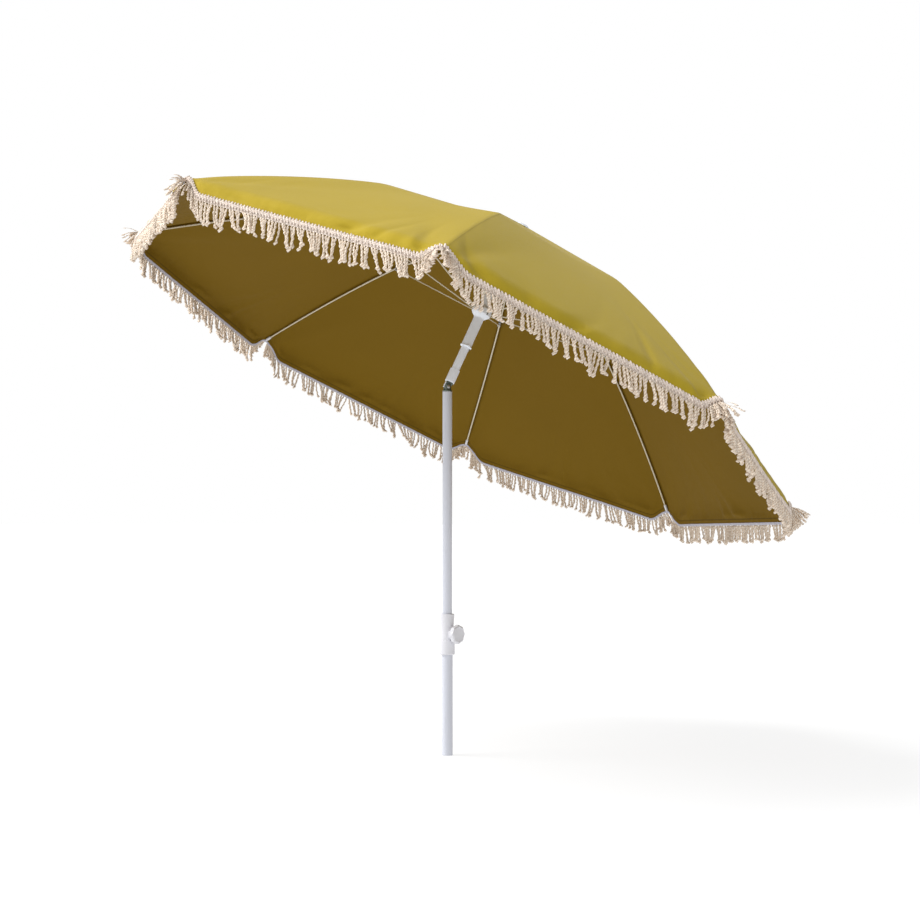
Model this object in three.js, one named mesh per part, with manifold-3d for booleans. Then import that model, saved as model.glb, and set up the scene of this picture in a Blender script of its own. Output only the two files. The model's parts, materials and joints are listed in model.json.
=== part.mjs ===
// Tilting beach umbrella: eight ribs, a fringed canopy and a two-part pole.
// Millimetres, +Z up the pole. The origin is the middle of the pole's flat bottom end.
// The canopy is tilted towards +X about a hinge along Y, and the ribs lie in the head's own frame.
import * as THREE from 'three';
import { mergeVertices } from 'three/addons/utils/BufferGeometryUtils.js';
import Module from 'manifold-3d';

const wasm = await Module();
wasm.setup();

// ---- fits -------------------------------------------------------------------------------
const CLEARANCE = 0.3; // between touching pieces
const RUNNING_FIT = 0.4; // between a tube and what slides on it, each side
const TELESCOPE_FIT = 0.3; // between the mast and the lower tube's bore, each side
const SEAM_GAP = 0.6; // half the gap between neighbouring canopy sectors
const RIB_TO_FABRIC = 3.4; // under the fabric's flat facets, with room for the tip caps

// ---- pole -------------------------------------------------------------------------------
const MAST_D = 22;
const MAST_WALL = 1.5;
const LOWER_TUBE_WALL = 1.2;
const LOWER_TUBE_D = MAST_D + 2 * (TELESCOPE_FIT + LOWER_TUBE_WALL);
const LOWER_TUBE_TOP = 262;
const FOOT_PLUG_HEIGHT = 22;
const MAST_BOTTOM = 112;
const BUSH_HEIGHT = 14;
const BUSH_SPIGOT_HEIGHT = 18;
const PIVOT_Z = 848; // tilt hinge above the pole's bottom end

// ---- height clamp -----------------------------------------------------------------------
const CLAMP_BOTTOM = 230;
const CLAMP_HEIGHT = 94;
const CLAMP_FOOT_D = LOWER_TUBE_D + 10;
const CLAMP_STEP_D = LOWER_TUBE_D + 8;
const CLAMP_WAIST_D = LOWER_TUBE_D + 4.5;
const CLAMP_HEAD_D = LOWER_TUBE_D + 8;
const CLAMP_FOOT_BAND = 34; // from the foot up to the step under the knob
const CLAMP_HEAD_TAPER = 22;
const KNOB_Z = 278;
const KNOB_ANGLE = THREE.MathUtils.degToRad(-60);
const KNOB_D = 45;
const KNOB_THICKNESS = 14;
const KNOB_LOBES = 8;
const KNOB_LOBE_DEPTH = 0.07; // share of the radius that is missing between two lobes
const KNOB_RIM = 6; // width of the rim round the sunk face
const KNOB_FACE_DEPTH = 1.2;
const KNOB_HUB_D = 20;
const KNOB_HUB_LENGTH = 2;
const BOSS_D = 23;
const BOSS_REACH = LOWER_TUBE_D / 2 + 7; // from the pole's axis to the boss face
const SCREW_D = 8;
const SCREW_GRIP = 8; // how far the screw goes into the knob
const PAD_THICKNESS = 1.2;
const NUT_ACROSS_FLATS = 13;
const NUT_THICKNESS = 4;
const NUT_INNER_FACE = MAST_D / 2 + 2.4; // from the pole's axis

// ---- tilt joint -------------------------------------------------------------------------
const TILT = THREE.MathUtils.degToRad(25.8);
const HEAD_TUBE_D = 19;
const HEAD_TUBE_WALL = 1.2;
const KNUCKLE_RADIUS = 7.2; // round end of the ears and the tongue, about the pin
const EAR_THICKNESS = 4;
const TONGUE_THICKNESS = 8.6;
const TILT_PIN_D = 5;
const TILT_PIN_HEAD_D = 8;
const TILT_PIN_HEAD = 0.8;
const KNUCKLE_SHOULDER = 3;
const MAST_TOP_DROP = 11; // from the pin down to the mast's top end
const HEAD_TUBE_RISE = 12; // from the pin up to the head tube's lower end
const KNUCKLE_PLUG = 34;
const COLLAR_RISE = 12;
const COLLAR_LENGTH = 33;
const COLLAR_WALL = 1.6;

// ---- ribs, stretchers and canopy, in the head's frame (origin at the tilt pin) ----------
const RIB_COUNT = 8;
const RIB_PHASE = THREE.MathUtils.degToRad(20);
const RIB_D = 4;
const TIP_RADIUS = 826; // from the head's axis to a rib tip
const TIP_HEIGHT = 57;
const APEX_HEIGHT = 431;
const RIB_BEND = 1.46; // power of the curve from the stretcher pivots down to the tips
const RING_RADIUS = HEAD_TUBE_D / 2 + 6.5; // pivot wires in the crown and the runner
const RING_WIRE_D = 2;
const CROWN_D = 2 * (RING_RADIUS + 7);
const CROWN_ROOF = 3.5;
const CROWN_HEIGHT = 19;
const CROWN_TO_PIVOT = 9.5; // from the crown's top down to its pivot wire
const CROWN_TO_FABRIC = 0.8;
const HUB_WALL = 2.6; // hub material round the tube bore
const EYE_D = RIB_D + 2; // the eyes are bent out of the rib's own wire
const EYE_WIDTH = RIB_D;
const STRETCHER_REACH = 395; // from the head's axis to a stretcher's rib pivot
const STRETCHER_D = 3.2;
const CLIP_DROP = RIB_D / 2 + 6; // rib pivot below the rib's middle
const CLIP_EAR = 1.6;
const CLIP_LENGTH = 22;
const CLIP_COVER = 0.5; // how far the clip's saddle stands round the rib
const CLIP_PIN_D = 2.6;
const RUNNER_PIVOT_HEIGHT = 197;
const RUNNER_BOTTOM = 104;
const RUNNER_WALL = 2.2;
const RUNNER_HUB_HEIGHT = 17;
const RUNNER_FLANGE_D = HEAD_TUBE_D + 9;
const RUNNER_FLANGE_HEIGHT = 5;
const GRIP_TAB = 4;
const CATCH_LENGTH = 12;
const CATCH_WIDTH = 5;
const CATCH_THICKNESS = 1;
const CATCH_PROUD = 3.6;
const TIP_CAP_D = RIB_D + 3;
const TIP_CAP_LENGTH = 16;

// ---- fabric, fringe and top cap ----------------------------------------------------------
const FABRIC_THICKNESS = 2;
const FABRIC_INNER_RADIUS = 13;
const FLAT_RADIUS = CROWN_D / 2 + 4; // the fabric lies flat on the crown
const HEM_BEYOND_TIP = 6;
const HEM_BEYOND_GORE = 42;
const HEM_HANG = 0.65; // how much of the hem hangs straight down instead of following the slope
const BENT_ROWS = 5; // rows of facets from the stretcher pivots to the tips
const HEM_ROWS = 2;
const FABRIC_COLUMNS = 6;
const COLUMN_SPREAD = 1.8; // power that draws the columns of facets together at the rib
const ROOF_LIFT = 1.2; // upright thickness of the sloping fabric, over its true thickness
const FRINGE_ROWS = 4;
const HEM_NOTCH_WIDTH = 60; // half width of the notch that the hem makes at a rib
const BRAID_WIDTH = 15;
const BRAID_THICKNESS = 3;
const FRINGE_DROP = 50;
const FRINGE_THICKNESS = 6;
const TOP_CAP_D = CROWN_D;
const TOP_CAP_HEIGHT = 9;
const TOP_CAP_RIM = 1;
const TOP_CAP_STUD_D = 7;
const TOP_CAP_STUD = 12;

const ROUND = 24;
const SMALL_ROUND = 12;
const WIRE_SIDES = 6;
const RIB_POINTS = 10;
const RIB_STEPS = 22;
const CAP_STEPS = 6;
const NOSE_STEPS = 4;
const OVERCUT = 1; // how far a cutter runs past the face that it opens

// ---- materials --------------------------------------------------------------------------
const finish = (color, roughness, metalness) =>
  new THREE.MeshStandardMaterial({ color, roughness, metalness });
const PAINT = () => finish(0xd9dde8, 0.35, 0.1);
const WHITE_PLASTIC = () => finish(0xe6e6ea, 0.45, 0);
const ZINC = () => finish(0x6f746c, 0.4, 0.9);
const STEEL = () => finish(0xb9bcc0, 0.3, 1);
const RIB_PAINT = () => finish(0xf1eee6, 0.4, 0.1);
const FABRIC = () => finish(0x98831f, 0.85, 0);
const COTTON = () => finish(0xefe3da, 0.95, 0);

// ---- shape helpers ----------------------------------------------------------------------
function weld(geometry) {
  const bare = geometry.index ? geometry : geometry.clone();
  bare.deleteAttribute('normal');
  bare.deleteAttribute('uv');
  return mergeVertices(bare, 1e-3);
}

function solid(geometry) {
  const welded = weld(geometry);
  return new wasm.Manifold(new wasm.Mesh({
    numProp: 3,
    vertProperties: new Float32Array(welded.attributes.position.array),
    triVerts: new Uint32Array(welded.index.array),
  }));
}

function geometryOf(body) {
  const mesh = body.getMesh();
  const geometry = new THREE.BufferGeometry();
  geometry.setAttribute('position', new THREE.BufferAttribute(new Float32Array(mesh.vertProperties), 3));
  geometry.setIndex(new THREE.BufferAttribute(new Uint32Array(mesh.triVerts), 1));
  geometry.computeVertexNormals();
  return geometry;
}

// A turned piece: [radius, height] points round the Z axis, closed on the axis or on itself.
function turned(points, sides = ROUND) {
  const outline = points.map(([radius, height]) => new THREE.Vector2(radius, height));
  return new THREE.LatheGeometry(outline, sides).rotateX(Math.PI / 2);
}

function disc(radius, bottom, top, sides = ROUND) {
  return new THREE.CylinderGeometry(radius, radius, top - bottom, sides)
    .rotateX(Math.PI / 2)
    .translate(0, 0, (bottom + top) / 2);
}

function ring(inner, outer, bottom, top, sides = ROUND) {
  return turned([[inner, bottom], [outer, bottom], [outer, top], [inner, top], [inner, bottom]], sides);
}

function block(sizeX, sizeY, sizeZ, x, y, z) {
  return new THREE.BoxGeometry(sizeX, sizeY, sizeZ).translate(x, y, z);
}

// A cylinder along Y, between two values of y.
function crossPin(radius, from, to, x, z, sides = SMALL_ROUND) {
  return new THREE.CylinderGeometry(radius, radius, to - from, sides).translate(x, (from + to) / 2, z);
}

// A cylinder along X, between two values of x.
function reachPin(radius, from, to, z, sides = ROUND) {
  return new THREE.CylinderGeometry(radius, radius, to - from, sides)
    .rotateZ(-Math.PI / 2)
    .translate((from + to) / 2, 0, z);
}

function rod(points, diameter, steps) {
  const section = new THREE.Shape().absarc(0, 0, diameter / 2, 0, 2 * Math.PI);
  const path = new THREE.CatmullRomCurve3(points);
  return new THREE.ExtrudeGeometry(section, { steps, curveSegments: WIRE_SIDES / 2, extrudePath: path });
}

// A sheet of some thickness: a subdivided box whose corners run over u, v and w from 0 to 1.
function sheet(columns, rows, place) {
  const geometry = new THREE.BoxGeometry(1, 1, 1, columns, rows, 1).translate(0.5, 0.5, 0.5);
  const position = geometry.attributes.position;
  for (let i = 0; i < position.count; i += 1) {
    const point = place(position.getX(i), position.getY(i), position.getZ(i));
    position.setXYZ(i, point.x, point.y, point.z);
  }
  return geometry;
}

function unite(...pieces) {
  return pieces.reduce((whole, piece) => whole.add(piece));
}

// ---- the groups that place the pieces ---------------------------------------------------
const umbrella = new THREE.Group();
const head = new THREE.Group();
head.position.z = PIVOT_Z;
head.rotation.y = TILT;
umbrella.add(head);

const clampSide = new THREE.Group();
clampSide.position.z = KNOB_Z;
clampSide.rotation.z = KNOB_ANGLE;
umbrella.add(clampSide);

function piece(group, name, geometry, material) {
  const mesh = new THREE.Mesh(geometry, material);
  mesh.name = name;
  group.add(mesh);
  return mesh;
}

// ---- pole tubes -------------------------------------------------------------------------
const lowerTubeBore = LOWER_TUBE_D / 2 - LOWER_TUBE_WALL;
const mastBore = MAST_D / 2 - MAST_WALL;
const mastTop = PIVOT_Z - MAST_TOP_DROP;

function footPlug() {
  return disc(lowerTubeBore - CLEARANCE, 0, FOOT_PLUG_HEIGHT);
}

function guideBush() {
  const collarRadius = MAST_D / 2;
  const spigotRadius = mastBore - CLEARANCE;
  const shoulder = MAST_BOTTOM - CLEARANCE;
  return turned([
    [0, shoulder - BUSH_HEIGHT],
    [collarRadius, shoulder - BUSH_HEIGHT],
    [collarRadius, shoulder],
    [spigotRadius, shoulder],
    [spigotRadius, shoulder + BUSH_SPIGOT_HEIGHT],
    [0, shoulder + BUSH_SPIGOT_HEIGHT],
  ]);
}

piece(umbrella, 'lower_tube', ring(lowerTubeBore, LOWER_TUBE_D / 2, 0, LOWER_TUBE_TOP), PAINT());
piece(umbrella, 'foot_plug', footPlug(), WHITE_PLASTIC());
piece(umbrella, 'guide_bush', guideBush(), WHITE_PLASTIC());
piece(umbrella, 'mast_tube', ring(mastBore, MAST_D / 2, MAST_BOTTOM, mastTop), PAINT());

// ---- height clamp -----------------------------------------------------------------------
const padInner = MAST_D / 2 + CLEARANCE;
const screwInner = padInner + PAD_THICKNESS + CLEARANCE;
const knobFace = BOSS_REACH + CLEARANCE;
const nutCorner = NUT_ACROSS_FLATS / 2 / Math.cos(Math.PI / 6);

function clampBody() {
  const top = CLAMP_BOTTOM + CLAMP_HEIGHT;
  const step = CLAMP_BOTTOM + CLAMP_FOOT_BAND;
  const spool = solid(turned([
    [0, CLAMP_BOTTOM],
    [CLAMP_FOOT_D / 2, CLAMP_BOTTOM],
    [CLAMP_STEP_D / 2, step],
    [CLAMP_WAIST_D / 2, step],
    [CLAMP_WAIST_D / 2, top - CLAMP_HEAD_TAPER],
    [CLAMP_HEAD_D / 2, top],
    [0, top],
  ]));
  const boss = solid(reachPin(BOSS_D / 2, 0, BOSS_REACH, KNOB_Z).rotateZ(KNOB_ANGLE));
  const mastBoreCut = solid(disc(MAST_D / 2 + RUNNING_FIT, 0, 2 * top));
  const tubeSeat = solid(disc(LOWER_TUBE_D / 2 + CLEARANCE, 0, LOWER_TUBE_TOP + CLEARANCE));
  const screwHole = solid(reachPin(SCREW_D / 2 + CLEARANCE, 0, 2 * BOSS_REACH, KNOB_Z).rotateZ(KNOB_ANGLE));
  const slotTop = KNOB_Z + nutCorner + CLEARANCE;
  const slotHeight = slotTop - KNOB_Z + BOSS_D / 2 + OVERCUT;
  const nutSlot = solid(block(
    NUT_THICKNESS + 2 * CLEARANCE,
    NUT_ACROSS_FLATS + 2 * CLEARANCE,
    slotHeight,
    NUT_INNER_FACE + NUT_THICKNESS / 2,
    0,
    slotTop - slotHeight / 2,
  ).rotateZ(KNOB_ANGLE));
  return geometryOf(unite(spool, boss).subtract(unite(mastBoreCut, tubeSeat, screwHole, nutSlot)));
}

function clampNut() {
  const outer = NUT_INNER_FACE + NUT_THICKNESS;
  const hex = solid(new THREE.CylinderGeometry(nutCorner, nutCorner, NUT_THICKNESS, 6)
    .rotateZ(-Math.PI / 2)
    .translate((NUT_INNER_FACE + outer) / 2, 0, 0));
  return geometryOf(hex.subtract(solid(reachPin(SCREW_D / 2 + CLEARANCE, 0, 2 * outer, 0))));
}

function clampKnob() {
  const back = knobFace + KNOB_HUB_LENGTH;
  const front = back + KNOB_THICKNESS;
  const rim = new THREE.Shape();
  const corners = 2 * KNOB_LOBES;
  for (let i = 0; i < corners; i += 1) {
    const angle = (2 * Math.PI * i) / corners;
    const radius = (KNOB_D / 2) * (i % 2 ? 1 - KNOB_LOBE_DEPTH : 1);
    rim[i ? 'lineTo' : 'moveTo'](radius * Math.cos(angle), radius * Math.sin(angle));
  }
  rim.closePath();
  const grip = new THREE.ExtrudeGeometry(rim, { depth: KNOB_THICKNESS, bevelEnabled: false })
    .rotateY(Math.PI / 2)
    .translate(back, 0, 0);
  const hub = reachPin(KNOB_HUB_D / 2, knobFace, back + OVERCUT, 0);
  const socket = reachPin(SCREW_D / 2 + CLEARANCE, 0, back + SCREW_GRIP, 0);
  const face = reachPin(KNOB_D / 2 - KNOB_RIM, front - KNOB_FACE_DEPTH, front + OVERCUT, 0);
  return geometryOf(unite(solid(grip), solid(hub)).subtract(unite(solid(socket), solid(face))));
}

piece(umbrella, 'clamp_body', clampBody(), WHITE_PLASTIC());
piece(clampSide, 'clamp_nut', clampNut(), STEEL());
const pad = reachPin(SCREW_D / 2 - CLEARANCE, padInner, padInner + PAD_THICKNESS, 0);
piece(clampSide, 'clamp_pad', pad, STEEL());
piece(
  clampSide,
  'clamp_screw',
  reachPin(SCREW_D / 2, screwInner, knobFace + KNOB_HUB_LENGTH + SCREW_GRIP - CLEARANCE, 0),
  STEEL(),
);
piece(clampSide, 'clamp_knob', clampKnob(), WHITE_PLASTIC());

// ---- tilt joint -------------------------------------------------------------------------
const headTubeBore = HEAD_TUBE_D / 2 - HEAD_TUBE_WALL;
const earOuter = TONGUE_THICKNESS / 2 + CLEARANCE + EAR_THICKNESS;

// An upright plate with a round end about the pin, from a foot at the given height.
function roundPlate(foot, yFrom, yTo) {
  const upright = block(2 * KNUCKLE_RADIUS, yTo - yFrom, Math.abs(foot), 0, (yFrom + yTo) / 2, foot / 2);
  const end = crossPin(KNUCKLE_RADIUS, yFrom, yTo, 0, 0, ROUND);
  return solid(upright).add(solid(end));
}

function pinHole() {
  return solid(crossPin(TILT_PIN_D / 2 + CLEARANCE, -HEAD_TUBE_D, HEAD_TUBE_D, 0, 0));
}

function lowerKnuckle() {
  const shoulderBottom = -MAST_TOP_DROP + CLEARANCE;
  const shoulderTop = shoulderBottom + KNUCKLE_SHOULDER;
  const plug = solid(disc(mastBore - CLEARANCE, -MAST_TOP_DROP - KNUCKLE_PLUG, shoulderTop));
  const shoulder = solid(disc(MAST_D / 2, shoulderBottom, shoulderTop));
  const inner = TONGUE_THICKNESS / 2 + CLEARANCE;
  const ears = unite(roundPlate(shoulderBottom, inner, earOuter), roundPlate(shoulderBottom, -earOuter, -inner));
  const turnedEars = ears.intersect(solid(disc(HEAD_TUBE_D / 2, -2 * MAST_TOP_DROP, 2 * MAST_TOP_DROP)));
  return geometryOf(unite(plug, shoulder, turnedEars).subtract(pinHole()));
}

function upperKnuckle() {
  const shoulderTop = HEAD_TUBE_RISE - CLEARANCE;
  const shoulderBottom = shoulderTop - KNUCKLE_SHOULDER;
  const plug = solid(disc(headTubeBore - CLEARANCE, shoulderBottom, HEAD_TUBE_RISE + KNUCKLE_PLUG));
  const shoulder = solid(disc(HEAD_TUBE_D / 2, shoulderBottom, shoulderTop));
  const tongue = roundPlate(shoulderTop, -TONGUE_THICKNESS / 2, TONGUE_THICKNESS / 2);
  return geometryOf(unite(plug, shoulder, tongue).subtract(pinHole()));
}

function tiltPin() {
  const reach = earOuter + CLEARANCE;
  const shank = solid(crossPin(TILT_PIN_D / 2, -reach, reach, 0, 0));
  const heads = [-1, 1].map((side) => {
    const from = Math.min(side * reach, side * (reach + TILT_PIN_HEAD));
    return solid(crossPin(TILT_PIN_HEAD_D / 2, from, from + TILT_PIN_HEAD, 0, 0));
  });
  return geometryOf(unite(shank, ...heads));
}

const jointPlace = new THREE.Group();
jointPlace.position.z = PIVOT_Z;
umbrella.add(jointPlace);

const collarBore = HEAD_TUBE_D / 2 + RUNNING_FIT;
piece(jointPlace, 'lower_knuckle', lowerKnuckle(), ZINC());
piece(jointPlace, 'tilt_pin', tiltPin(), STEEL());
piece(head, 'upper_knuckle', upperKnuckle(), ZINC());
piece(
  head,
  'tilt_collar',
  ring(collarBore, collarBore + COLLAR_WALL, COLLAR_RISE, COLLAR_RISE + COLLAR_LENGTH),
  WHITE_PLASTIC(),
);

// ---- fabric profile ---------------------------------------------------------------------
// Height of the fabric over a rib, at a distance from the head's axis: flat on the crown, straight to the
// stretcher's pivot, bent from there to the tip, and straight on past it.
function bentHeight(radius) {
  return APEX_HEIGHT - (APEX_HEIGHT - TIP_HEIGHT) * (radius / TIP_RADIUS) ** RIB_BEND;
}

function fabricHeight(radius) {
  if (radius > TIP_RADIUS) {
    const slope = ((APEX_HEIGHT - TIP_HEIGHT) * RIB_BEND) / TIP_RADIUS;
    return TIP_HEIGHT - slope * (radius - TIP_RADIUS);
  }
  if (radius > STRETCHER_REACH) {
    return bentHeight(radius);
  }
  const share = Math.max(radius, FLAT_RADIUS) / STRETCHER_REACH;
  return APEX_HEIGHT - (APEX_HEIGHT - bentHeight(STRETCHER_REACH)) * share;
}

const crownTop = fabricHeight(0) - FABRIC_THICKNESS / 2 - CROWN_TO_FABRIC;
const crownBottom = crownTop - CROWN_HEIGHT;
const crownPivotHeight = crownTop - CROWN_TO_PIVOT;

// ---- head tube, crown and top cap -------------------------------------------------------
const crownSocketTop = crownTop - CROWN_ROOF;
const headTubeTop = crownSocketTop - CLEARANCE;

function headTube() {
  const catchMiddle = RUNNER_BOTTOM - CLEARANCE - CATCH_LENGTH / 2;
  const window = block(
    HEAD_TUBE_D,
    CATCH_WIDTH + 2 * CLEARANCE,
    CATCH_LENGTH + 2 * CLEARANCE,
    HEAD_TUBE_D / 2,
    0,
    catchMiddle,
  );
  const tube = solid(ring(headTubeBore, HEAD_TUBE_D / 2, HEAD_TUBE_RISE, headTubeTop));
  return geometryOf(tube.subtract(solid(window)));
}

// Radial slots for the wire eyes of the ribs or stretchers.
function eyeSlots(bottom, top) {
  const reach = CROWN_D;
  const start = RING_RADIUS - EYE_D / 2 - 2 * CLEARANCE;
  const width = EYE_WIDTH + 2 * CLEARANCE;
  const slots = [];
  for (let k = 0; k < RIB_COUNT; k += 1) {
    const slot = block(reach, width, top - bottom, start + reach / 2, 0, (bottom + top) / 2);
    slots.push(solid(slot.rotateZ(RIB_PHASE + (k * 2 * Math.PI) / RIB_COUNT)));
  }
  return unite(...slots);
}

// A round groove for a pivot wire, open at one face of its hub.
function wireGroove(bottom, top) {
  const half = RING_WIRE_D / 2 + CLEARANCE;
  return solid(ring(RING_RADIUS - half, RING_RADIUS + half, bottom, top));
}

function crown() {
  const body = solid(disc(CROWN_D / 2, crownBottom, crownTop));
  const socket = solid(disc(HEAD_TUBE_D / 2 + CLEARANCE, 0, crownSocketTop));
  const stud = solid(disc(TOP_CAP_STUD_D / 2 + CLEARANCE, 0, 2 * crownTop));
  const grooveTop = crownPivotHeight + RING_WIRE_D / 2 + CLEARANCE;
  const cuts = unite(socket, stud, eyeSlots(0, crownSocketTop), wireGroove(0, grooveTop));
  return geometryOf(body.subtract(cuts));
}

function pivotWire(height) {
  const wire = new THREE.TorusGeometry(RING_RADIUS, RING_WIRE_D / 2, WIRE_SIDES, 1.5 * ROUND);
  return wire.translate(0, 0, height);
}

function topCap() {
  const bottom = fabricHeight(0) + FABRIC_THICKNESS / 2 + CLEARANCE;
  const radius = TOP_CAP_D / 2;
  const outline = [
    [0, bottom - TOP_CAP_STUD],
    [TOP_CAP_STUD_D / 2, bottom - TOP_CAP_STUD],
    [TOP_CAP_STUD_D / 2, bottom],
    [radius, bottom],
  ];
  for (let i = 0; i < CAP_STEPS; i += 1) {
    const angle = (Math.PI / 2) * (i / CAP_STEPS);
    const rise = TOP_CAP_RIM + (TOP_CAP_HEIGHT - TOP_CAP_RIM) * Math.sin(angle);
    outline.push([radius * Math.cos(angle), bottom + rise]);
  }
  outline.push([0, bottom + TOP_CAP_HEIGHT]);
  return turned(outline);
}

piece(head, 'head_tube', headTube(), PAINT());
piece(head, 'crown', crown(), WHITE_PLASTIC());
piece(head, 'crown_wire', pivotWire(crownPivotHeight), STEEL());
piece(head, 'top_cap', topCap(), WHITE_PLASTIC());

// ---- runner and its catch ---------------------------------------------------------------
const runnerBore = HEAD_TUBE_D / 2 + RUNNING_FIT;
const runnerHubTop = RUNNER_PIVOT_HEIGHT + RUNNER_HUB_HEIGHT / 2;
const runnerHubBottom = RUNNER_PIVOT_HEIGHT - RUNNER_HUB_HEIGHT / 2;

function runner() {
  const sleeve = solid(disc(runnerBore + RUNNER_WALL, RUNNER_BOTTOM, runnerHubTop));
  const flangeTop = RUNNER_BOTTOM + RUNNER_FLANGE_HEIGHT;
  const flange = solid(disc(RUNNER_FLANGE_D / 2, RUNNER_BOTTOM, flangeTop));
  const tabs = block(
    GRIP_TAB * 2,
    RUNNER_FLANGE_D + 2 * GRIP_TAB,
    RUNNER_FLANGE_HEIGHT,
    0,
    0,
    (RUNNER_BOTTOM + flangeTop) / 2,
  );
  const hub = solid(disc(CROWN_D / 2, runnerHubBottom, runnerHubTop));
  const grooveBottom = RUNNER_PIVOT_HEIGHT - RING_WIRE_D / 2 - CLEARANCE;
  const cuts = unite(
    solid(disc(runnerBore, 0, 2 * runnerHubTop)),
    eyeSlots(runnerHubBottom + HUB_WALL, 2 * runnerHubTop),
    wireGroove(grooveBottom, 2 * runnerHubTop),
  );
  return geometryOf(unite(sleeve, flange, solid(tabs), hub).subtract(cuts));
}

// A spring steel tongue that comes out of the head tube's window under the runner.
function runnerCatch() {
  const top = RUNNER_BOTTOM - CLEARANCE;
  const inner = headTubeBore - CATCH_THICKNESS;
  const outline = new THREE.Shape([
    new THREE.Vector2(inner, top - CATCH_LENGTH + CLEARANCE),
    new THREE.Vector2(inner + CATCH_THICKNESS, top - CATCH_LENGTH + CLEARANCE),
    new THREE.Vector2(HEAD_TUBE_D / 2 + CATCH_PROUD, top),
    new THREE.Vector2(inner, top),
  ]);
  return new THREE.ExtrudeGeometry(outline, { depth: CATCH_WIDTH, bevelEnabled: false })
    .rotateX(Math.PI / 2)
    .translate(0, CATCH_WIDTH / 2, 0);
}

piece(head, 'runner', runner(), WHITE_PLASTIC());
piece(head, 'runner_wire', pivotWire(RUNNER_PIVOT_HEIGHT), STEEL());
piece(head, 'runner_catch', runnerCatch(), STEEL());

// ---- ribs and stretchers ----------------------------------------------------------------
const ribDrop = FABRIC_THICKNESS / 2 + RIB_D / 2 + RIB_TO_FABRIC;
const ribHeight = (radius) => fabricHeight(radius) - ribDrop;
const ribEnd = TIP_RADIUS - TIP_CAP_D - CLEARANCE; // the cap's nose stays behind the hem

function ribPath() {
  const points = [new THREE.Vector3(RING_RADIUS + RING_WIRE_D, 0, crownPivotHeight)];
  const first = 1.5 * CROWN_D;
  for (let i = 0; i <= RIB_POINTS; i += 1) {
    const radius = first + ((ribEnd - first) * i) / RIB_POINTS;
    points.push(new THREE.Vector3(radius, 0, ribHeight(radius)));
  }
  return points;
}

function wireEye(height) {
  return solid(crossPin(EYE_D / 2, -EYE_WIDTH / 2, EYE_WIDTH / 2, RING_RADIUS, height));
}

function eyeHole(height) {
  return solid(crossPin(RING_WIRE_D / 2 + CLEARANCE, -EYE_WIDTH, EYE_WIDTH, RING_RADIUS, height));
}

const clipSlope = Math.atan2(
  ribHeight(STRETCHER_REACH + CLIP_LENGTH) - ribHeight(STRETCHER_REACH - CLIP_LENGTH),
  2 * CLIP_LENGTH,
);
const clipInner = STRETCHER_D / 2 + CLEARANCE;
const clipOuter = clipInner + CLIP_EAR;

// The sheet-metal clip on a rib: a saddle over the rod and two ears with a rivet across them.
function ribClip() {
  const saddle = block(CLIP_LENGTH, 2 * clipOuter, RIB_D + 2 * CLIP_COVER, 0, 0, -CLIP_COVER);
  const ears = [-1, 1].map((side) => solid(block(
    CLIP_LENGTH / 2,
    CLIP_EAR,
    CLIP_DROP + CLIP_PIN_D,
    0,
    side * (clipInner + CLIP_EAR / 2),
    -(CLIP_DROP + CLIP_PIN_D) / 2,
  )));
  const rivet = solid(crossPin(CLIP_PIN_D / 2, -clipOuter, clipOuter, 0, -CLIP_DROP));
  return unite(solid(saddle), ...ears, rivet)
    .rotate([0, -THREE.MathUtils.radToDeg(clipSlope), 0])
    .translate([STRETCHER_REACH, 0, ribHeight(STRETCHER_REACH)]);
}

// The rivet's middle, after the clip is turned to the rib's slope.
const rivetX = STRETCHER_REACH + CLIP_DROP * Math.sin(clipSlope);
const rivetZ = ribHeight(STRETCHER_REACH) - CLIP_DROP * Math.cos(clipSlope);

function rib() {
  const wire = solid(rod(ribPath(), RIB_D, RIB_STEPS));
  return geometryOf(unite(wire, wireEye(crownPivotHeight), ribClip()).subtract(eyeHole(crownPivotHeight)));
}

function stretcher() {
  const inner = new THREE.Vector3(RING_RADIUS + RING_WIRE_D, 0, RUNNER_PIVOT_HEIGHT);
  const outer = new THREE.Vector3(rivetX, 0, rivetZ);
  const along = outer.clone().sub(inner).normalize();
  const wire = rod([inner, outer.clone().addScaledVector(along, -CLIP_PIN_D)], STRETCHER_D, 2);
  const outerEye = solid(crossPin(EYE_D / 2, -STRETCHER_D / 2, STRETCHER_D / 2, rivetX, rivetZ));
  const rivetHole = solid(crossPin(CLIP_PIN_D / 2 + CLEARANCE, -EYE_D, EYE_D, rivetX, rivetZ));
  return geometryOf(unite(solid(wire), wireEye(RUNNER_PIVOT_HEIGHT), outerEye)
    .subtract(unite(eyeHole(RUNNER_PIVOT_HEIGHT), rivetHole)));
}

// A cap pushed over the rib's end, with a round nose.
function tipCap() {
  const radius = TIP_CAP_D / 2;
  const slope = Math.atan2(ribHeight(ribEnd) - ribHeight(ribEnd - TIP_CAP_LENGTH), TIP_CAP_LENGTH);
  const bore = RIB_D / 2 + CLEARANCE;
  const profile = [[bore, -TIP_CAP_LENGTH], [radius, -TIP_CAP_LENGTH], [radius, 0]];
  for (let i = 1; i < NOSE_STEPS; i += 1) {
    const angle = (Math.PI / 2) * (i / NOSE_STEPS);
    profile.push([radius * Math.cos(angle), CLEARANCE + radius * Math.sin(angle)]);
  }
  profile.push([0, CLEARANCE + radius], [0, CLEARANCE], [bore, CLEARANCE], [bore, -TIP_CAP_LENGTH]);
  return turned(profile, SMALL_ROUND)
    .rotateY(Math.PI / 2 - slope)
    .translate(ribEnd, 0, ribHeight(ribEnd));
}

// ---- canopy and fringe ------------------------------------------------------------------
const halfGore = Math.PI / RIB_COUNT;
const smooth = (t) => t * t * (3 - 2 * t);

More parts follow.
